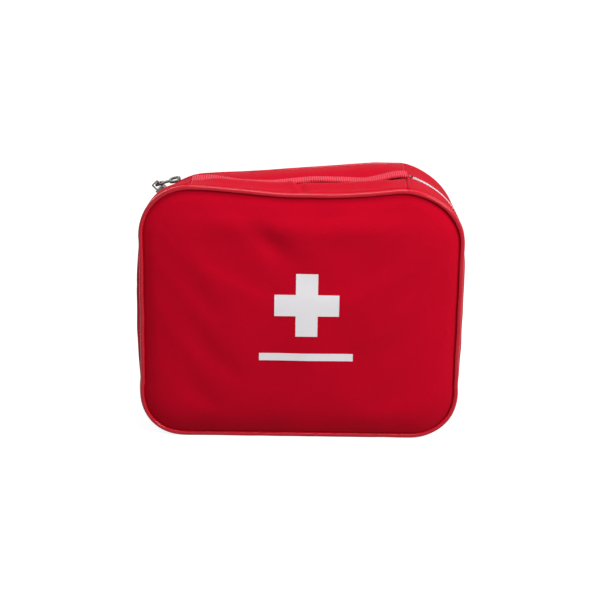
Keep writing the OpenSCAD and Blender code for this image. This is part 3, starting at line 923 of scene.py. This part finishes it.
# %% Build the top panel
def taut_top(x):
    """Height of the unslumped top, which is flat and then follows the corners."""
    beyond = np.maximum(np.abs(x) - flat_x, 0)
    return height - corner_r + np.sqrt(corner_r ** 2 - beyond ** 2)


def top_point(x, y, lift):
    """A point over the top panel: lift is measured straight up from the unslumped cloth."""
    return slump(points_at(x, y, taut_top(x) + lift))


def panel_lift(x, y):
    """How far the top panel swells or dips."""
    ends = 1 - smooth(np.abs(x), 62 * MM, 88 * MM)
    dip = -5.2 * MM * bell(y - 2 * MM, 13 * MM) * ends
    front_ridge = 3.2 * MM * bell(y + 22 * MM, 9 * MM) * ends
    back_swell = 1.6 * MM * bell(y - 24 * MM, 11 * MM)
    fold = x + 4 * MM + 0.25 * (y + 20 * MM)
    crease = 1.3 * MM * bell(fold + 4 * MM, 3.5 * MM) - 2.4 * MM * bell(fold, 2.6 * MM)
    crease = crease * smooth(-y, 8 * MM, 16 * MM)
    return dip + front_ridge + back_swell + crease + 0.5 * MM * creases(x, y, 51, 46 * MM)


xs = np.linspace(-seam_x + 0.6 * MM, seam_x - 0.6 * MM, 89)
ys = np.concatenate([[-seam_y + 0.4 * MM, -gusset_y - 0.5 * MM],
                     np.linspace(-gusset_y + 1.5 * MM, gusset_y - 1.5 * MM, 27),
                     [gusset_y + 0.5 * MM, seam_y - 0.4 * MM]])
tuck = np.concatenate([[-3.0, -2.0], np.zeros(27), [-2.0, -3.0]]) * MM
grid_x, grid_y = grid(xs, ys)
inside = smooth(gusset_y - np.abs(grid_y), 0, 6 * MM)
panel_points = top_point(grid_x, grid_y, tuck[None, :] + panel_lift(grid_x, grid_y) * inside)
top_cloth = new_object("top_panel_cloth", panel_points, grid_faces(89, 31), cloth_red, cloth_map(xs, ys))
face_away(top_cloth)
thicken(top_cloth, 0.8 * MM, inner=lining_red)
subdivide(top_cloth)
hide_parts("top_panel")
fold_front(top_cloth)
print("top panel is", round(2 * seam_x / MM), "mm long")

# %% [markdown]
# At each end the panel is sewn to the gussets, and the seam allowance shows as a low, rounded ridge. A
# slim oval tube over the edge is enough for that.

# %% Build the cross seams
for side, word in ((-1, "left"), (1, "right")):
    seam_line = np.linspace(-seam_y + 1.2 * MM, seam_y - 1.2 * MM, 44)
    x = side * (seam_x - 0.5 * MM) + 0 * seam_line
    rise = 0.35 * MM + panel_lift(x, seam_line) * 0.6
    rise -= 1.6 * MM * smooth(np.abs(seam_line), gusset_y - 2 * MM, seam_y)
    path = top_point(x, seam_line, rise)
    welt = tube_object("cross_seam_" + word, path, 2.6 * MM, 1.5 * MM, cloth_red, sides=10,
                       up=(1, 0, 0))
    subdivide(welt)
    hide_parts("end_seam_" + word)
    fold_front(welt)
    print(welt.name, "has", len(path), "rings")

# %% [markdown]
# The strap is a narrow woven webbing. It is sewn down at the cross seams, arches up beside each of
# them and lies slack over the middle of the panel. Its ribs are real: the strap has four rows of points
# to a rib.

# %% Build the handle
strap_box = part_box("handle_grip")
strap_w = strap_box[1].y - strap_box[0].y
strap_t = strap_box[1].z - strap_box[0].z
strap_knots_x = np.array([-1.0, -0.82, -0.58, -0.28, 0.10, 0.42, 0.57, 0.74, 0.90, 1.0]) * seam_x
strap_knots_z = np.array([-5.6, -4.6, -8.2, -8.0, -4.2, -4.8, -5.6, -2.2, 1.2, 0.9]) * MM


def strap_height(x):
    """Height of the strap's middle line over the flat top, smoothed through a few knots."""
    fine = np.linspace(-seam_x, seam_x, 361)
    line = np.interp(fine, strap_knots_x, strap_knots_z)
    window = np.hanning(41)
    padded = np.concatenate([np.full(20, line[0]), line, np.full(20, line[-1])])
    return np.interp(x, fine, np.convolve(padded, window / window.sum(), "valid"))


def strap_tilt(x):
    """Slope of the strap across its width: its front edge lifts a little beside the arches."""
    return 0.10 * bell(x / seam_x + 0.62, 0.2) - 0.05 * bell(x / seam_x - 0.2, 0.3)


def strap_half(name, side):
    x = side * np.arange(0, seam_x - 1.0 * MM, rib_pitch / 4)
    across = np.linspace(-1, 1, 13)
    grid_x, grid_v = grid(x, across)
    rib = 0.18 * MM * np.sin(2 * math.pi * grid_x / rib_pitch)
    cords = 0.06 * MM * np.sin(grid_v * math.pi * 9)
    middle = top_point(grid_x, 0 * grid_v, 0 * grid_v)
    middle[..., 1] = grid_v * (strap_w / 2 + rib) + 1.0 * MM * np.sin(grid_x / seam_x * 4.0)
    middle[..., 2] = taut_top(grid_x) + strap_height(grid_x)
    middle[..., 2] += strap_tilt(grid_x) * grid_v * strap_w / 2
    upper = middle + (strap_t / 2 + rib + cords)[..., None] * np.array([0, 0, 1])
    lower = middle - (strap_t / 2 + rib)[..., None] * np.array([0, 0, 1])
    rows = np.concatenate([upper, lower[:, ::-1]], 1)
    count = rows.shape[1]
    faces = grid_faces(len(x), count, False, True)
    faces += [tuple(range(count)), tuple(range((len(x) - 1) * count, len(x) * count))]
    uv = cloth_map(x, np.concatenate([across, across[::-1] + 2]) * strap_w / 2)
    piece = close_faces(new_object(name, rows, faces, webbing_red, uv))
    return piece


for side, word in ((-1, "left"), (1, "right")):
    half = strap_half("handle_strap_" + word, side)
    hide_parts("handle_end_" + word, "handle_run_" + word, "handle_grip")
    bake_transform(half)
print("strap is", round(strap_w / MM, 1), "by", round(strap_t / MM, 1), "mm")

# %% [markdown]
# ## Stitches
# Rows of thread run beside the cross seams and along both hems of the zip. They use the same tree as
# the coil, with a small grain in place of the loop.

# %% Sew the visible rows
stitch_pitch = 2.8 * MM
stitch_width = 0.32 * MM


def stitches(name, polylines):
    piece = run_tree(name, stitch_tree, polylines, thread_red, Pitch=stitch_pitch,
                     Length=stitch_pitch * 0.42, Width=stitch_width, Wire=stitch_width, Seed=7)
    return piece


def hem_line(side, s0, s1):
    s = np.linspace(s0, s1, int(abs(s1 - s0) / (3 * MM)))
    return strip_rows(s, [(-0.12 * MM, slot_y + 2.4 * MM)], side)[:, 0]


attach(stitches("back_hem_stitches", [hem_line(1, -seam_s, seam_s)]), "back_shell")
for side, word in ((1, "right"), (-1, "left")):
    row = hem_line(-1, *sorted((0, side * seam_s)))
    twist_front(stitches("front_hem_stitches_" + word, [row]), side)
seam_rows = []
for side in (-1, 1):
    seam_line = np.linspace(-gusset_y + 3 * MM, gusset_y - 3 * MM, 40)
    x = side * (seam_x - 3.4 * MM) + 0 * seam_line
    rows = top_point(x, seam_line, panel_lift(x, seam_line) + 0.2 * MM)
    beside = strap_w / 2 + 1 * MM
    seam_rows += [rows[np.abs(seam_line) > beside][:13], rows[seam_line > beside]]
fold_front(stitches("cross_seam_stitches", seam_rows))
print("stitches sewn")

# %% [markdown]
# ## Print
# The cross and the bar under it are a thin white ink on the cover. Each is a sheet of small cells that
# is dropped onto the finished cover, cell corner by cell corner, so that it follows every hollow.

# %% Lay the print on the cover
bpy.context.view_layer.update()
cover_tree = BVHTree.FromObject(front_cover, bpy.context.evaluated_depsgraph_get())


def print_sheet(name, node, keep, divisions):
    """A cell sheet over a CAD node's box, where keep(x, z) is true, laid on the cover."""
    low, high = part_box(node)
    middle = (low + high) / 2
    xs = middle.x + np.asarray(divisions[0])
    zs = middle.z + np.asarray(divisions[1])
    points, numbers, faces = [], {}, []
    for i in range(len(xs) - 1):
        for j in range(len(zs) - 1):
            if not keep((xs[i] + xs[i + 1]) / 2 - middle.x, (zs[j] + zs[j + 1]) / 2 - middle.z):
                continue
            corners = []
            for a, b in ((i, j), (i + 1, j), (i + 1, j + 1), (i, j + 1)):
                if (a, b) not in numbers:
                    before = Vector((xs[a], low.y - 50 * MM, zs[b]))
                    hit = cover_tree.ray_cast(before, Vector((0, 1, 0)))[0]
                    numbers[a, b] = len(points)
                    points.append((xs[a], hit.y - 0.10 * MM, zs[b]))
                corners.append(numbers[a, b])
            faces.append(tuple(corners))
    piece = face_away(new_object(name, points, faces, print_white))
    piece.data.polygons.foreach_set("use_smooth", [False] * len(faces))
    thicken(piece, 0.08 * MM, offset=1)
    return belongs(piece, "front_shell", "white_print", node)


cross_low, cross_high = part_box("cross_print")
cross_half = (cross_high.x - cross_low.x) / 2
arm_half = cross_half * 0.34
arm_steps = np.concatenate([np.linspace(-cross_half, -arm_half, 9),
                            np.linspace(-arm_half, arm_half, 9)[1:],
                            np.linspace(arm_half, cross_half, 9)[1:]])
print_sheet("cross_ink", "cross_print", lambda x, z: abs(x) < arm_half or abs(z) < arm_half,
            (arm_steps, arm_steps))
bar_low, bar_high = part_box("bar_print")
bar_half = (bar_high - bar_low) / 2
print_sheet("bar_ink", "bar_print", lambda x, z: True,
            (np.linspace(-bar_half.x, bar_half.x, 33), np.linspace(-bar_half.z, bar_half.z, 4)))
print("cross is", round(2 * cross_half / MM), "mm wide")

# %% [markdown]
# ## Slider and pull tab
# The construction model already has the true shape of the metal parts, but with knife edges. A copy is
# cleaned into flat faces and bevelled, as cast and plated metal has soft edges. The slider's plates sink
# with the zip, while its crown still reaches up to where the tab turns, so the tab stays in place at
# every pose. The loose tab leans towards the cloth. The same step serves the tweezers, the leaflet and
# the carton inside.

# %% Bevelled copies of hard nodes
def softened(node, material, body, slot, bevel, segments=2, settle=None, lean=None):
    """A bevelled copy of a CAD node that stands for it. settle moves each point, lean turns it all."""
    mesh = frame["nodes"][node].data.copy()
    work = bmesh.new()
    work.from_mesh(mesh)
    if lean is not None:
        bmesh.ops.transform(work, matrix=lean, verts=work.verts)
    if settle:
        for vert in work.verts:
            vert.co = settle(np.array(vert.co))
    bmesh.ops.remove_doubles(work, verts=work.verts, dist=0.005 * MM)
    bmesh.ops.dissolve_limit(work, angle_limit=math.radians(4), verts=work.verts, edges=work.edges)
    bmesh.ops.recalc_face_normals(work, faces=work.faces)
    work.to_mesh(mesh)
    work.free()
    mesh.materials.clear()
    mesh.materials.append(material)
    mesh.polygons.foreach_set("use_smooth", [True] * len(mesh.polygons))
    piece = add_object(node + "_finished", mesh)
    edge = piece.modifiers.new("bevel", "BEVEL")
    edge.width = bevel
    edge.segments = segments
    edge.limit_method = "ANGLE"
    edge.angle_limit = math.radians(35)
    edge.harden_normals = True
    return belongs(piece, body, slot, node)


tab_pivot = Vector(joints["tab_flip"]["pos_m"])
tab_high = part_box("pull_tab")[1]
tab_end = Vector((tab_high.x, 0, tab_high.z))
to_pivot = Matrix.Translation(tab_pivot)
tab_lean = (to_pivot @ Matrix.Rotation(math.radians(10), 4, "Y")
            @ Matrix.Rotation(math.radians(15), 4, tab_end - tab_pivot) @ to_pivot.inverted())
slider_plate = 1.2 * MM


def sink_slider(point):
    """Lowers the plates onto the zip; a thicker body and taller crown reach up to the tab's pivot."""
    centre = np.array([-flat_x, 0, height - corner_r])
    pivot_h = np.linalg.norm(np.array(tab_pivot) - centre) - corner_r
    out = np.array([-1, 0, 1]) / math.sqrt(2)
    tall = (point - centre) @ out - corner_r
    sunk = np.interp(tall, [0, slider_plate, pivot_h], [1, 0.14, 0])
    return point + out * (rail_rest - corner_r) * sunk


def sink_stop(point):
    return slump(point) + np.array([0, 0, 1.0 * MM])


softened("zip_slider", nickel, "slider", "zip_metal", 0.22 * MM, segments=3, settle=sink_slider)
softened("pull_tab", nickel, "tab", "zip_metal", 0.42 * MM, segments=3, lean=tab_lean)
for word in ("back", "front"):
    softened(word + "_zip_stops", nickel, word + "_shell", "zip_metal", 0.2 * MM, settle=sink_stop)
softened("tweezers", steel, "back_shell", "tweezers_steel", 0.2 * MM)
softened("leaflet", card_white, "front_shell", "card", 0.2 * MM)
softened("plaster_carton", card_white, "back_shell", "carton", 0.5 * MM)
print("slider sits", round((corner_r - rail_rest) / MM, 1), "mm lower than on taut cloth")

# %% [markdown]
# ## Inside
# When the front swings open it shows a lining, bound seams, two elastic bands and the supplies. Each
# piece takes its place and size from its own node's box. The lining is a cloth that is held all round,
# so it is a sheet with soft creases, and a flat tape binds each raw seam.

# %% Lining and bindings
lining_low, lining_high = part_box("organiser_sheet")
lining_x, lining_z = grid(np.linspace(-1, 1, 40), np.linspace(-1, 1, 34))
lining_half = lining_high.x
lining_tall = lining_high.z - lining_low.z
lining_r = corner_r - (half_w - lining_half)
bend_in = np.maximum(np.abs(lining_z) * lining_tall / 2 - flat_z, 0)
reach = flat_x + np.sqrt(np.maximum(lining_r ** 2 - bend_in ** 2, 0))
uneven_y = 0.25 * MM * creases(lining_x * 0.12, lining_z * 0.1, 61, 50 * MM)
lining_points = points_at(lining_x * reach, lining_low.y + 0.3 * MM + uneven_y,
                          height / 2 + lining_z * lining_tall / 2)
lining = new_object("organiser_lining", slump(lining_points), grid_faces(40, 34), lining_red,
                    lining_points[..., [0, 2]])
thicken(face_away(lining, behind), 0.5 * MM)
belongs(lining, "back_shell", "lining", "organiser_sheet")


for side in (1, -1):
    low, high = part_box(end[side] + "_binding")
    place, normal = outline(np.linspace(0, girth, 220, endpoint=False), 2 * piping_r + 2.3 * MM)
    path = slump(points_at(place[:, 0], (low.y + high.y) / 2, place[:, 1]))
    up = points_at(normal[:, 0], 0, normal[:, 1])
    piece = tube_object(end[side] + "_binding_tape", path, 4.2 * MM, 1.1 * MM, binding_red, sides=10,
                        closed=True, up=up)
    belongs(piece, end[side] + "_shell", "binding", end[side] + "_binding")
print("lining is", round(2 * lining_half / MM), "by", round(lining_tall / MM), "mm")

# %% [markdown]
# A bandage is one long strip wound up. It could be a cylinder with a painted spiral, but a real spiral
# shows its turns at both ends and catches the light between them. The rolls of sticking tape are wound
# too tightly for that: a turned ring on a plastic core will do.

# %% Rolls of bandage, gauze and tape
cloth_share = 0.8


def wound_roll(name, node, material, slot, turns, core):
    """A strip wound into a roll. core is the inner radius as a share of the outer one."""
    low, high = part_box(node)
    radius = (high.x - low.x) / 2
    middle = (low + high) / 2
    angle = np.linspace(0, turns * 2 * math.pi, turns * 36)
    distance = radius * (core + (1 - core) * angle / angle[-1])
    gap = radius * (1 - core) / turns
    distance = distance - gap * 0.5 * cloth_share
    rows = []
    levels = np.linspace(low.z, high.z, 8)
    for z in levels:
        edge = 0.25 * MM * np.sin(angle * 1.7 + z * 900)
        at = z + edge * (1 if z in (levels[0], levels[-1]) else 0)
        rows.append(points_at(middle.x + distance * np.cos(angle), middle.y + distance * np.sin(angle),
                              np.clip(at, low.z, high.z)))
    rows = np.stack(rows, 1)
    uv = cloth_map(walked(rows[:, 0]), levels)
    piece = new_object(name, rows, grid_faces(len(angle), len(levels)), material, uv)
    thicken(piece, gap * cloth_share, offset=0)
    return belongs(piece, "back_shell", slot, node)


wound_roll("wide_bandage", "wide_bandage_roll", crepe_cream, "crepe", 9, 0.12)
wound_roll("narrow_bandage", "narrow_bandage_roll", crepe_cream, "crepe", 8, 0.12)
wound_roll("gauze_bandage", "gauze_roll", gauze_white, "gauze", 11, 0.15)


def lathe(name, centre, profile, material, count=48):
    """Turns a closed profile of (radius, z) round an upright axis."""
    angle = np.linspace(0, 2 * math.pi, count, endpoint=False)
    points = [[(centre.x + r * math.cos(a), centre.y + r * math.sin(a), z) for r, z in profile]
              for a in angle]
    return close_faces(new_object(name, points, grid_faces(count, len(profile), True, True), material))


tape_low, tape_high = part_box("tape_rolls")
tape_middle = (tape_low + tape_high) / 2
tape_r = (tape_high.x - tape_low.x) / 2
core_r = 8 * MM
one_roll = (tape_high.z - tape_low.z) / 2 - 0.1 * MM
for layer in range(2):
    z0 = tape_low.z + layer * (one_roll + 0.2 * MM)
    z1 = z0 + one_roll
    soft = 0.5 * MM
    ring = [(core_r + 1.6 * MM, z0 + soft), (core_r + 1.9 * MM, z0), (tape_r - soft, z0),
            (tape_r, z0 + soft), (tape_r, z1 - soft), (tape_r - soft, z1), (core_r + 1.9 * MM, z1),
            (core_r + 1.6 * MM, z1 - soft)]
    core = [(core_r, z0 + 0.3 * MM), (core_r + 1.5 * MM, z0 + 0.3 * MM),
            (core_r + 1.5 * MM, z1 - 0.3 * MM), (core_r, z1 - 0.3 * MM)]
    for word, shape, material in (("cloth", ring, gauze_white), ("core", core, core_plastic)):
        part = lathe(f"tape_{word}_{layer + 1}", tape_middle, shape, material)
        belongs(part, "back_shell", "tape", "tape_rolls")
print("a roll of tape is", round(one_roll / MM, 1), "mm wide")

# %% [markdown]
# Gauze and wipes come in paper sachets, and the blanket is a folded film in a clear one. Each is a
# pillow: two sheets that part away from a flat, crimped seal. The film gets the deeper wrinkles.

# %% Packets, foil blanket and their sealed edges
def pillow(name, low, high, material, slot, node, seal, crush, seed):
    """A flat sachet that fills the box low to high, with a flat sealed rim."""
    size = high - low
    count_x = max(8, int(size.x / (2.2 * MM)))
    count_z = max(8, int(size.z / (2.2 * MM)))
    u, v = grid(np.linspace(0, 1, count_x), np.linspace(0, 1, count_z))
    edge = np.minimum(np.minimum(u, 1 - u) * size.x, np.minimum(v, 1 - v) * size.z)
    full = smooth(edge, seal * 0.8, seal * 0.8 + size.y * 0.9)
    crimp = 0.12 * MM * np.sin(edge * 2 * math.pi / (0.9 * MM)) * (edge < seal)
    thick = 0.25 * MM + full * (size.y / 2 - 0.35 * MM)
    wrinkle = crush * creases(u * size.x, v * size.z, seed, 16 * MM) * full
    x = low.x + u * size.x
    z = low.z + v * size.z
    y = (low.y + high.y) / 2
    front = points_at(x, y - thick - crimp + np.abs(wrinkle), z)
    back = points_at(x, y + thick - crimp - np.abs(wrinkle), z)
    points = np.concatenate([front.reshape(-1, 3), back.reshape(-1, 3)])
    faces = grid_faces(count_x, count_z)
    offset = count_x * count_z
    faces += [tuple(offset + i for i in face[::-1]) for face in grid_faces(count_x, count_z)]
    rim = ([i * count_z for i in range(count_x)]
           + [(count_x - 1) * count_z + j for j in range(1, count_z)]
           + [i * count_z + count_z - 1 for i in range(count_x - 2, -1, -1)]
           + [j for j in range(count_z - 2, 0, -1)])
    faces += [(a, b, offset + b, offset + a) for a, b in zip(rim, rim[1:] + rim[:1])]
    uv = np.tile(np.stack([x, z], -1).reshape(-1, 2), (2, 1))
    piece = close_faces(new_object(name, points, faces, material, uv))
    return belongs(piece, "back_shell", slot, node)


def packet_stack(node, word, count):
    low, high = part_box(node)
    step = (high.y - low.y) / count
    for i in range(count):
        a = Vector((low.x, high.y - (i + 1) * step, low.z))
        b = Vector((high.x, high.y - i * step, high.z))
        pillow(f"{word}_{i + 1}", a, b, paper_white, "packet_paper", node, 3.0 * MM, 0.5 * MM, 70 + i)


packet_stack("gauze_packets", "gauze_packet", 3)
packet_stack("wipe_packets", "wipe_packet", 3)
foil = pillow("folded_foil", *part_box("foil_blanket"), film_silver, "foil_film", "foil_blanket", 1.5 * MM,
              2.2 * MM, 80)
print("the foil has", len(foil.data.vertices), "points")

# %% [markdown]
# The elastic bands pass in front of the supplies and dive to the lining between them. Their path is a
# row of loops: a half circle round each roll and a rounded box round each flat piece.

# %% Elastic bands
band_lift = 0.75 * MM


def loop_path(node, round_one):
    """Points (x, y) of the band in front of one piece, from left to right."""
    low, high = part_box(node)
    face_y = lining_low.y - 0.5 * MM
    x0, x1 = low.x - band_lift, high.x + band_lift
    if round_one:
        radius = (high.x - low.x) / 2 + band_lift
        middle = (low + high) / 2
        turn = np.linspace(math.pi, 2 * math.pi, 17)
        over = [(middle.x + radius * math.cos(a), middle.y + radius * math.sin(a)) for a in turn]
    else:
        front = low.y - band_lift
        corner = 2 * MM
        turn = np.linspace(0, math.pi / 2, 5)
        bend = [(corner * (1 - math.cos(a)), front + corner * (1 - math.sin(a))) for a in turn]
        over = [(x0 + x, y) for x, y in bend] + [(x1 - x, y) for x, y in bend[::-1]]
    return [(x0, face_y)] + over + [(x1, face_y)]


def elastic_band(name, node, loops):
    low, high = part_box(node)
    line = []
    for item, round_one in loops:
        line += loop_path(item, round_one)
    line = np.array(line)
    dense = []
    for a, b in zip(line[:-1], line[1:]):
        steps = max(1, int(np.linalg.norm(b - a) / (1.5 * MM)))
        dense += [a + (b - a) * i / steps for i in range(steps)]
    dense = np.array(dense + [line[-1]])
    rows = []
    for t in np.linspace(0, 1, 9):
        wave = 0.25 * MM * creases(dense[:, 0], 0 * dense[:, 0], 91, 12 * MM)
        wave = wave * (1 if t in (0, 1) else 0.3)
        rows.append(points_at(dense[:, 0], dense[:, 1], low.z + (high.z - low.z) * t + wave))
    uv = cloth_map(walked(dense), np.linspace(low.z, high.z, 9))
    piece = new_object(name, np.stack(rows, 1), grid_faces(len(dense), 9), elastic_red, uv)
    thicken(face_away(piece, behind), 0.6 * MM, offset=0)
    return belongs(piece, "back_shell", "elastic", node)


elastic_band("lower_elastic_band", "lower_elastic",
             [("wide_bandage_roll", True), ("narrow_bandage_roll", True), ("plaster_carton", False),
              ("gauze_roll", True), ("tape_rolls", True)])
elastic_band("upper_elastic_band", "upper_elastic",
             [("gauze_packets", False), ("tweezers", False), ("foil_blanket", False),
              ("wipe_packets", False)])
print("loops hold the supplies", round(band_lift / MM, 2), "mm off their faces")

# %% [markdown]
# The pocket on the inside of the front is an open net. Real holes read better than a painted pattern
# when the bag is open, so the net is a sheet of square cells whose edges a Wireframe modifier turns into
# thread.

# %% Mesh pocket and its elastic edge
pocket_low, pocket_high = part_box("mesh_pocket")
net_cell = 3.0 * MM
pocket_size = pocket_high - pocket_low
net_x = np.linspace(pocket_low.x, pocket_high.x, int(pocket_size.x / net_cell) + 1)
net_z = np.linspace(pocket_low.z, pocket_high.z, int(pocket_size.z / net_cell) + 1)
net_u, net_v = grid(net_x, net_z)
rim_gap = np.minimum(np.minimum(net_u - pocket_low.x, pocket_high.x - net_u), net_v - pocket_low.z)
net_y = pocket_low.y + 0.8 * MM + (pocket_size.y - 1.4 * MM) * smooth(rim_gap, 0, 9 * MM)
net = new_object("pocket_net", points_at(net_u, net_y, net_v), grid_faces(len(net_x), len(net_z)),
                 gauze_white)
wires = net.modifiers.new("net", "WIREFRAME")
wires.thickness = 0.45 * MM
wires.use_even_offset = False
belongs(net, "front_shell", "pocket_mesh", "mesh_pocket")
edge_low, edge_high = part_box("pocket_elastic")
edge_middle = (edge_low + edge_high) / 2
trim_x = np.linspace(edge_low.x, edge_high.x, 90)
gathers = 0.25 * MM * np.sin(trim_x * 2 * math.pi / (6 * MM))
trim_path = points_at(trim_x, edge_middle.y - 0.6 * MM + gathers, edge_middle.z)
trim = tube_object("pocket_trim", trim_path, 8 * MM, 1.0 * MM, elastic_red, up=(0, 0, 1))
belongs(trim, "front_shell", "elastic", "pocket_elastic")
print("net of", len(net_x) - 1, "by", len(net_z) - 1, "cells")

# %% [markdown]
# A carton of plasters carries a plain printed stripe and cross. They are thin labels just in front of
# its face, so the board keeps one simple finish.

# %% A plain cross and stripe on the carton
carton_low, carton_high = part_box("plaster_carton")
carton_middle = (carton_low + carton_high) / 2


def flat_label(name, width, tall, centre_z):
    x0, x1 = carton_middle.x - width / 2, carton_middle.x + width / 2
    z0, z1 = centre_z - tall / 2, centre_z + tall / 2
    y = carton_low.y - 0.06 * MM
    points = [(x0, y, z0), (x1, y, z0), (x1, y, z1), (x0, y, z1)]
    piece = face_away(new_object(name, points, [(0, 1, 2, 3)], mark_green), behind)
    return belongs(thicken(piece, 0.05 * MM, offset=1), "back_shell", "carton")


flat_label("carton_stripe", carton_high.x - carton_low.x - 1.2 * MM, 7 * MM, carton_high.z - 8 * MM)
flat_label("carton_mark_across", 16 * MM, 5 * MM, carton_low.z + 18 * MM)
flat_label("carton_mark_upright", 5 * MM, 16 * MM, carton_low.z + 18 * MM)
print("carton is", round((carton_high.x - carton_low.x) / MM), "mm wide")

# %% [markdown]
# ## Stage, light and camera
# The bag stands on a pale floor in an even white room. The world is plain white to the camera and to
# reflections, and a softer light to everything else. The floor glows for the camera, so it looks as
# white as the room and still takes the bag's shadow.

# %% World and floor
scene = bpy.context.scene
scene.view_settings.view_transform = "Standard"
ambient_light = 0.54
floor_glow = 0.86
floor_half = 3.0


def any_ray(tree, *kinds):
    """A socket that is 1 for rays of any of these kinds, else 0."""
    rays = tree.nodes.new("ShaderNodeLightPath").outputs
    found = rays[kinds[0]]
    for kind in kinds[1:]:
        larger = tree.nodes.new("ShaderNodeMath")
        larger.operation = "MAXIMUM"
        tree.links.new(found, larger.inputs[0])
        tree.links.new(rays[kind], larger.inputs[1])
        found = larger.outputs[0]
    return found


scene.world = bpy.data.worlds.new("white_room")
scene.world.use_nodes = True
tree = scene.world.node_tree
background = next(n for n in tree.nodes if n.type == "BACKGROUND")
strength = tree.nodes.new("ShaderNodeMapRange")
strength.inputs["To Min"].default_value = ambient_light
strength.inputs["To Max"].default_value = 1.0
seen = any_ray(tree, "Is Camera Ray", "Is Transmission Ray", "Is Glossy Ray")
tree.links.new(seen, strength.inputs["Value"])
tree.links.new(strength.outputs[0], background.inputs["Strength"])
background.inputs["Color"].default_value = (1, 1, 1, 1)

pale_floor = Finish("pale_floor", Base_Color=(0.30, 0.30, 0.30, 1), Roughness=1.0, Specular_IOR_Level=0.0)
tree = pale_floor.tree
seen = Wire(pale_floor, any_ray(tree, "Is Camera Ray", "Is Glossy Ray"))
glow = pale_floor.node("ShaderNodeEmission", None, {"Strength": seen * floor_glow})
both = pale_floor.node("ShaderNodeAddShader", None,
                       {0: Wire(pale_floor, pale_floor.shader.outputs[0]), 1: glow})
output = next(n for n in tree.nodes if n.type == "OUTPUT_MATERIAL")
tree.links.new(both.socket, output.inputs["Surface"])
corners = [(-floor_half, -floor_half, 0), (floor_half, -floor_half, 0), (floor_half, floor_half, 0),
           (-floor_half, floor_half, 0)]
floor = new_object("floor", corners, [(0, 1, 2, 3)], pale_floor.material)
print("ambient light", ambient_light)

# %% [markdown]
# One large soft lamp above and in front does the modelling from the right, one straight above lights
# the top and the piping, and a weak one behind keeps the back of the bag readable. The camera looks
# down a little through a long lens, as for a catalogue.

# %% Lamps and camera
def soft_lamp(name, place, size, power):
    """A round lamp that shines on the middle of the bag."""
    lamp = bpy.data.lights.new(name, "AREA")
    lamp.shape = "DISK"
    lamp.size = size
    lamp.energy = power
    made = add_object(name, lamp)
    made.location = place
    made.rotation_euler = (Vector((0, 0, 0.1)) - Vector(place)).to_track_quat("-Z", "Y").to_euler()


soft_lamp("key_lamp", (0.66, -0.62, 0.66), 0.5, 7.4)
soft_lamp("top_lamp", (0.08, -0.28, 1.08), 0.45, 5.0)
soft_lamp("rear_lamp", (-0.70, 1.00, 0.60), 0.8, 4.0)

camera_distance = 1.25
camera_azimuth = math.radians(-0.42)
camera_elevation = math.radians(17.93)
camera_roll = math.radians(0.9)
camera_aim = Vector((-0.4, 0, 99.9)) * MM
back = Vector((math.sin(camera_azimuth) * math.cos(camera_elevation),
               -math.cos(camera_azimuth) * math.cos(camera_elevation), math.sin(camera_elevation)))
camera_data = bpy.data.cameras.new("camera")
camera_data.lens = 93.2
camera_data.sensor_width = 36
camera = add_object("camera", camera_data)
camera.location = camera_aim + back * camera_distance
camera.rotation_euler = ((-back).to_track_quat("-Z", "Y").to_matrix()
                         @ Matrix.Rotation(camera_roll, 3, "Z")).to_euler()
scene.camera = camera
print("camera stands", camera_distance, "m away")
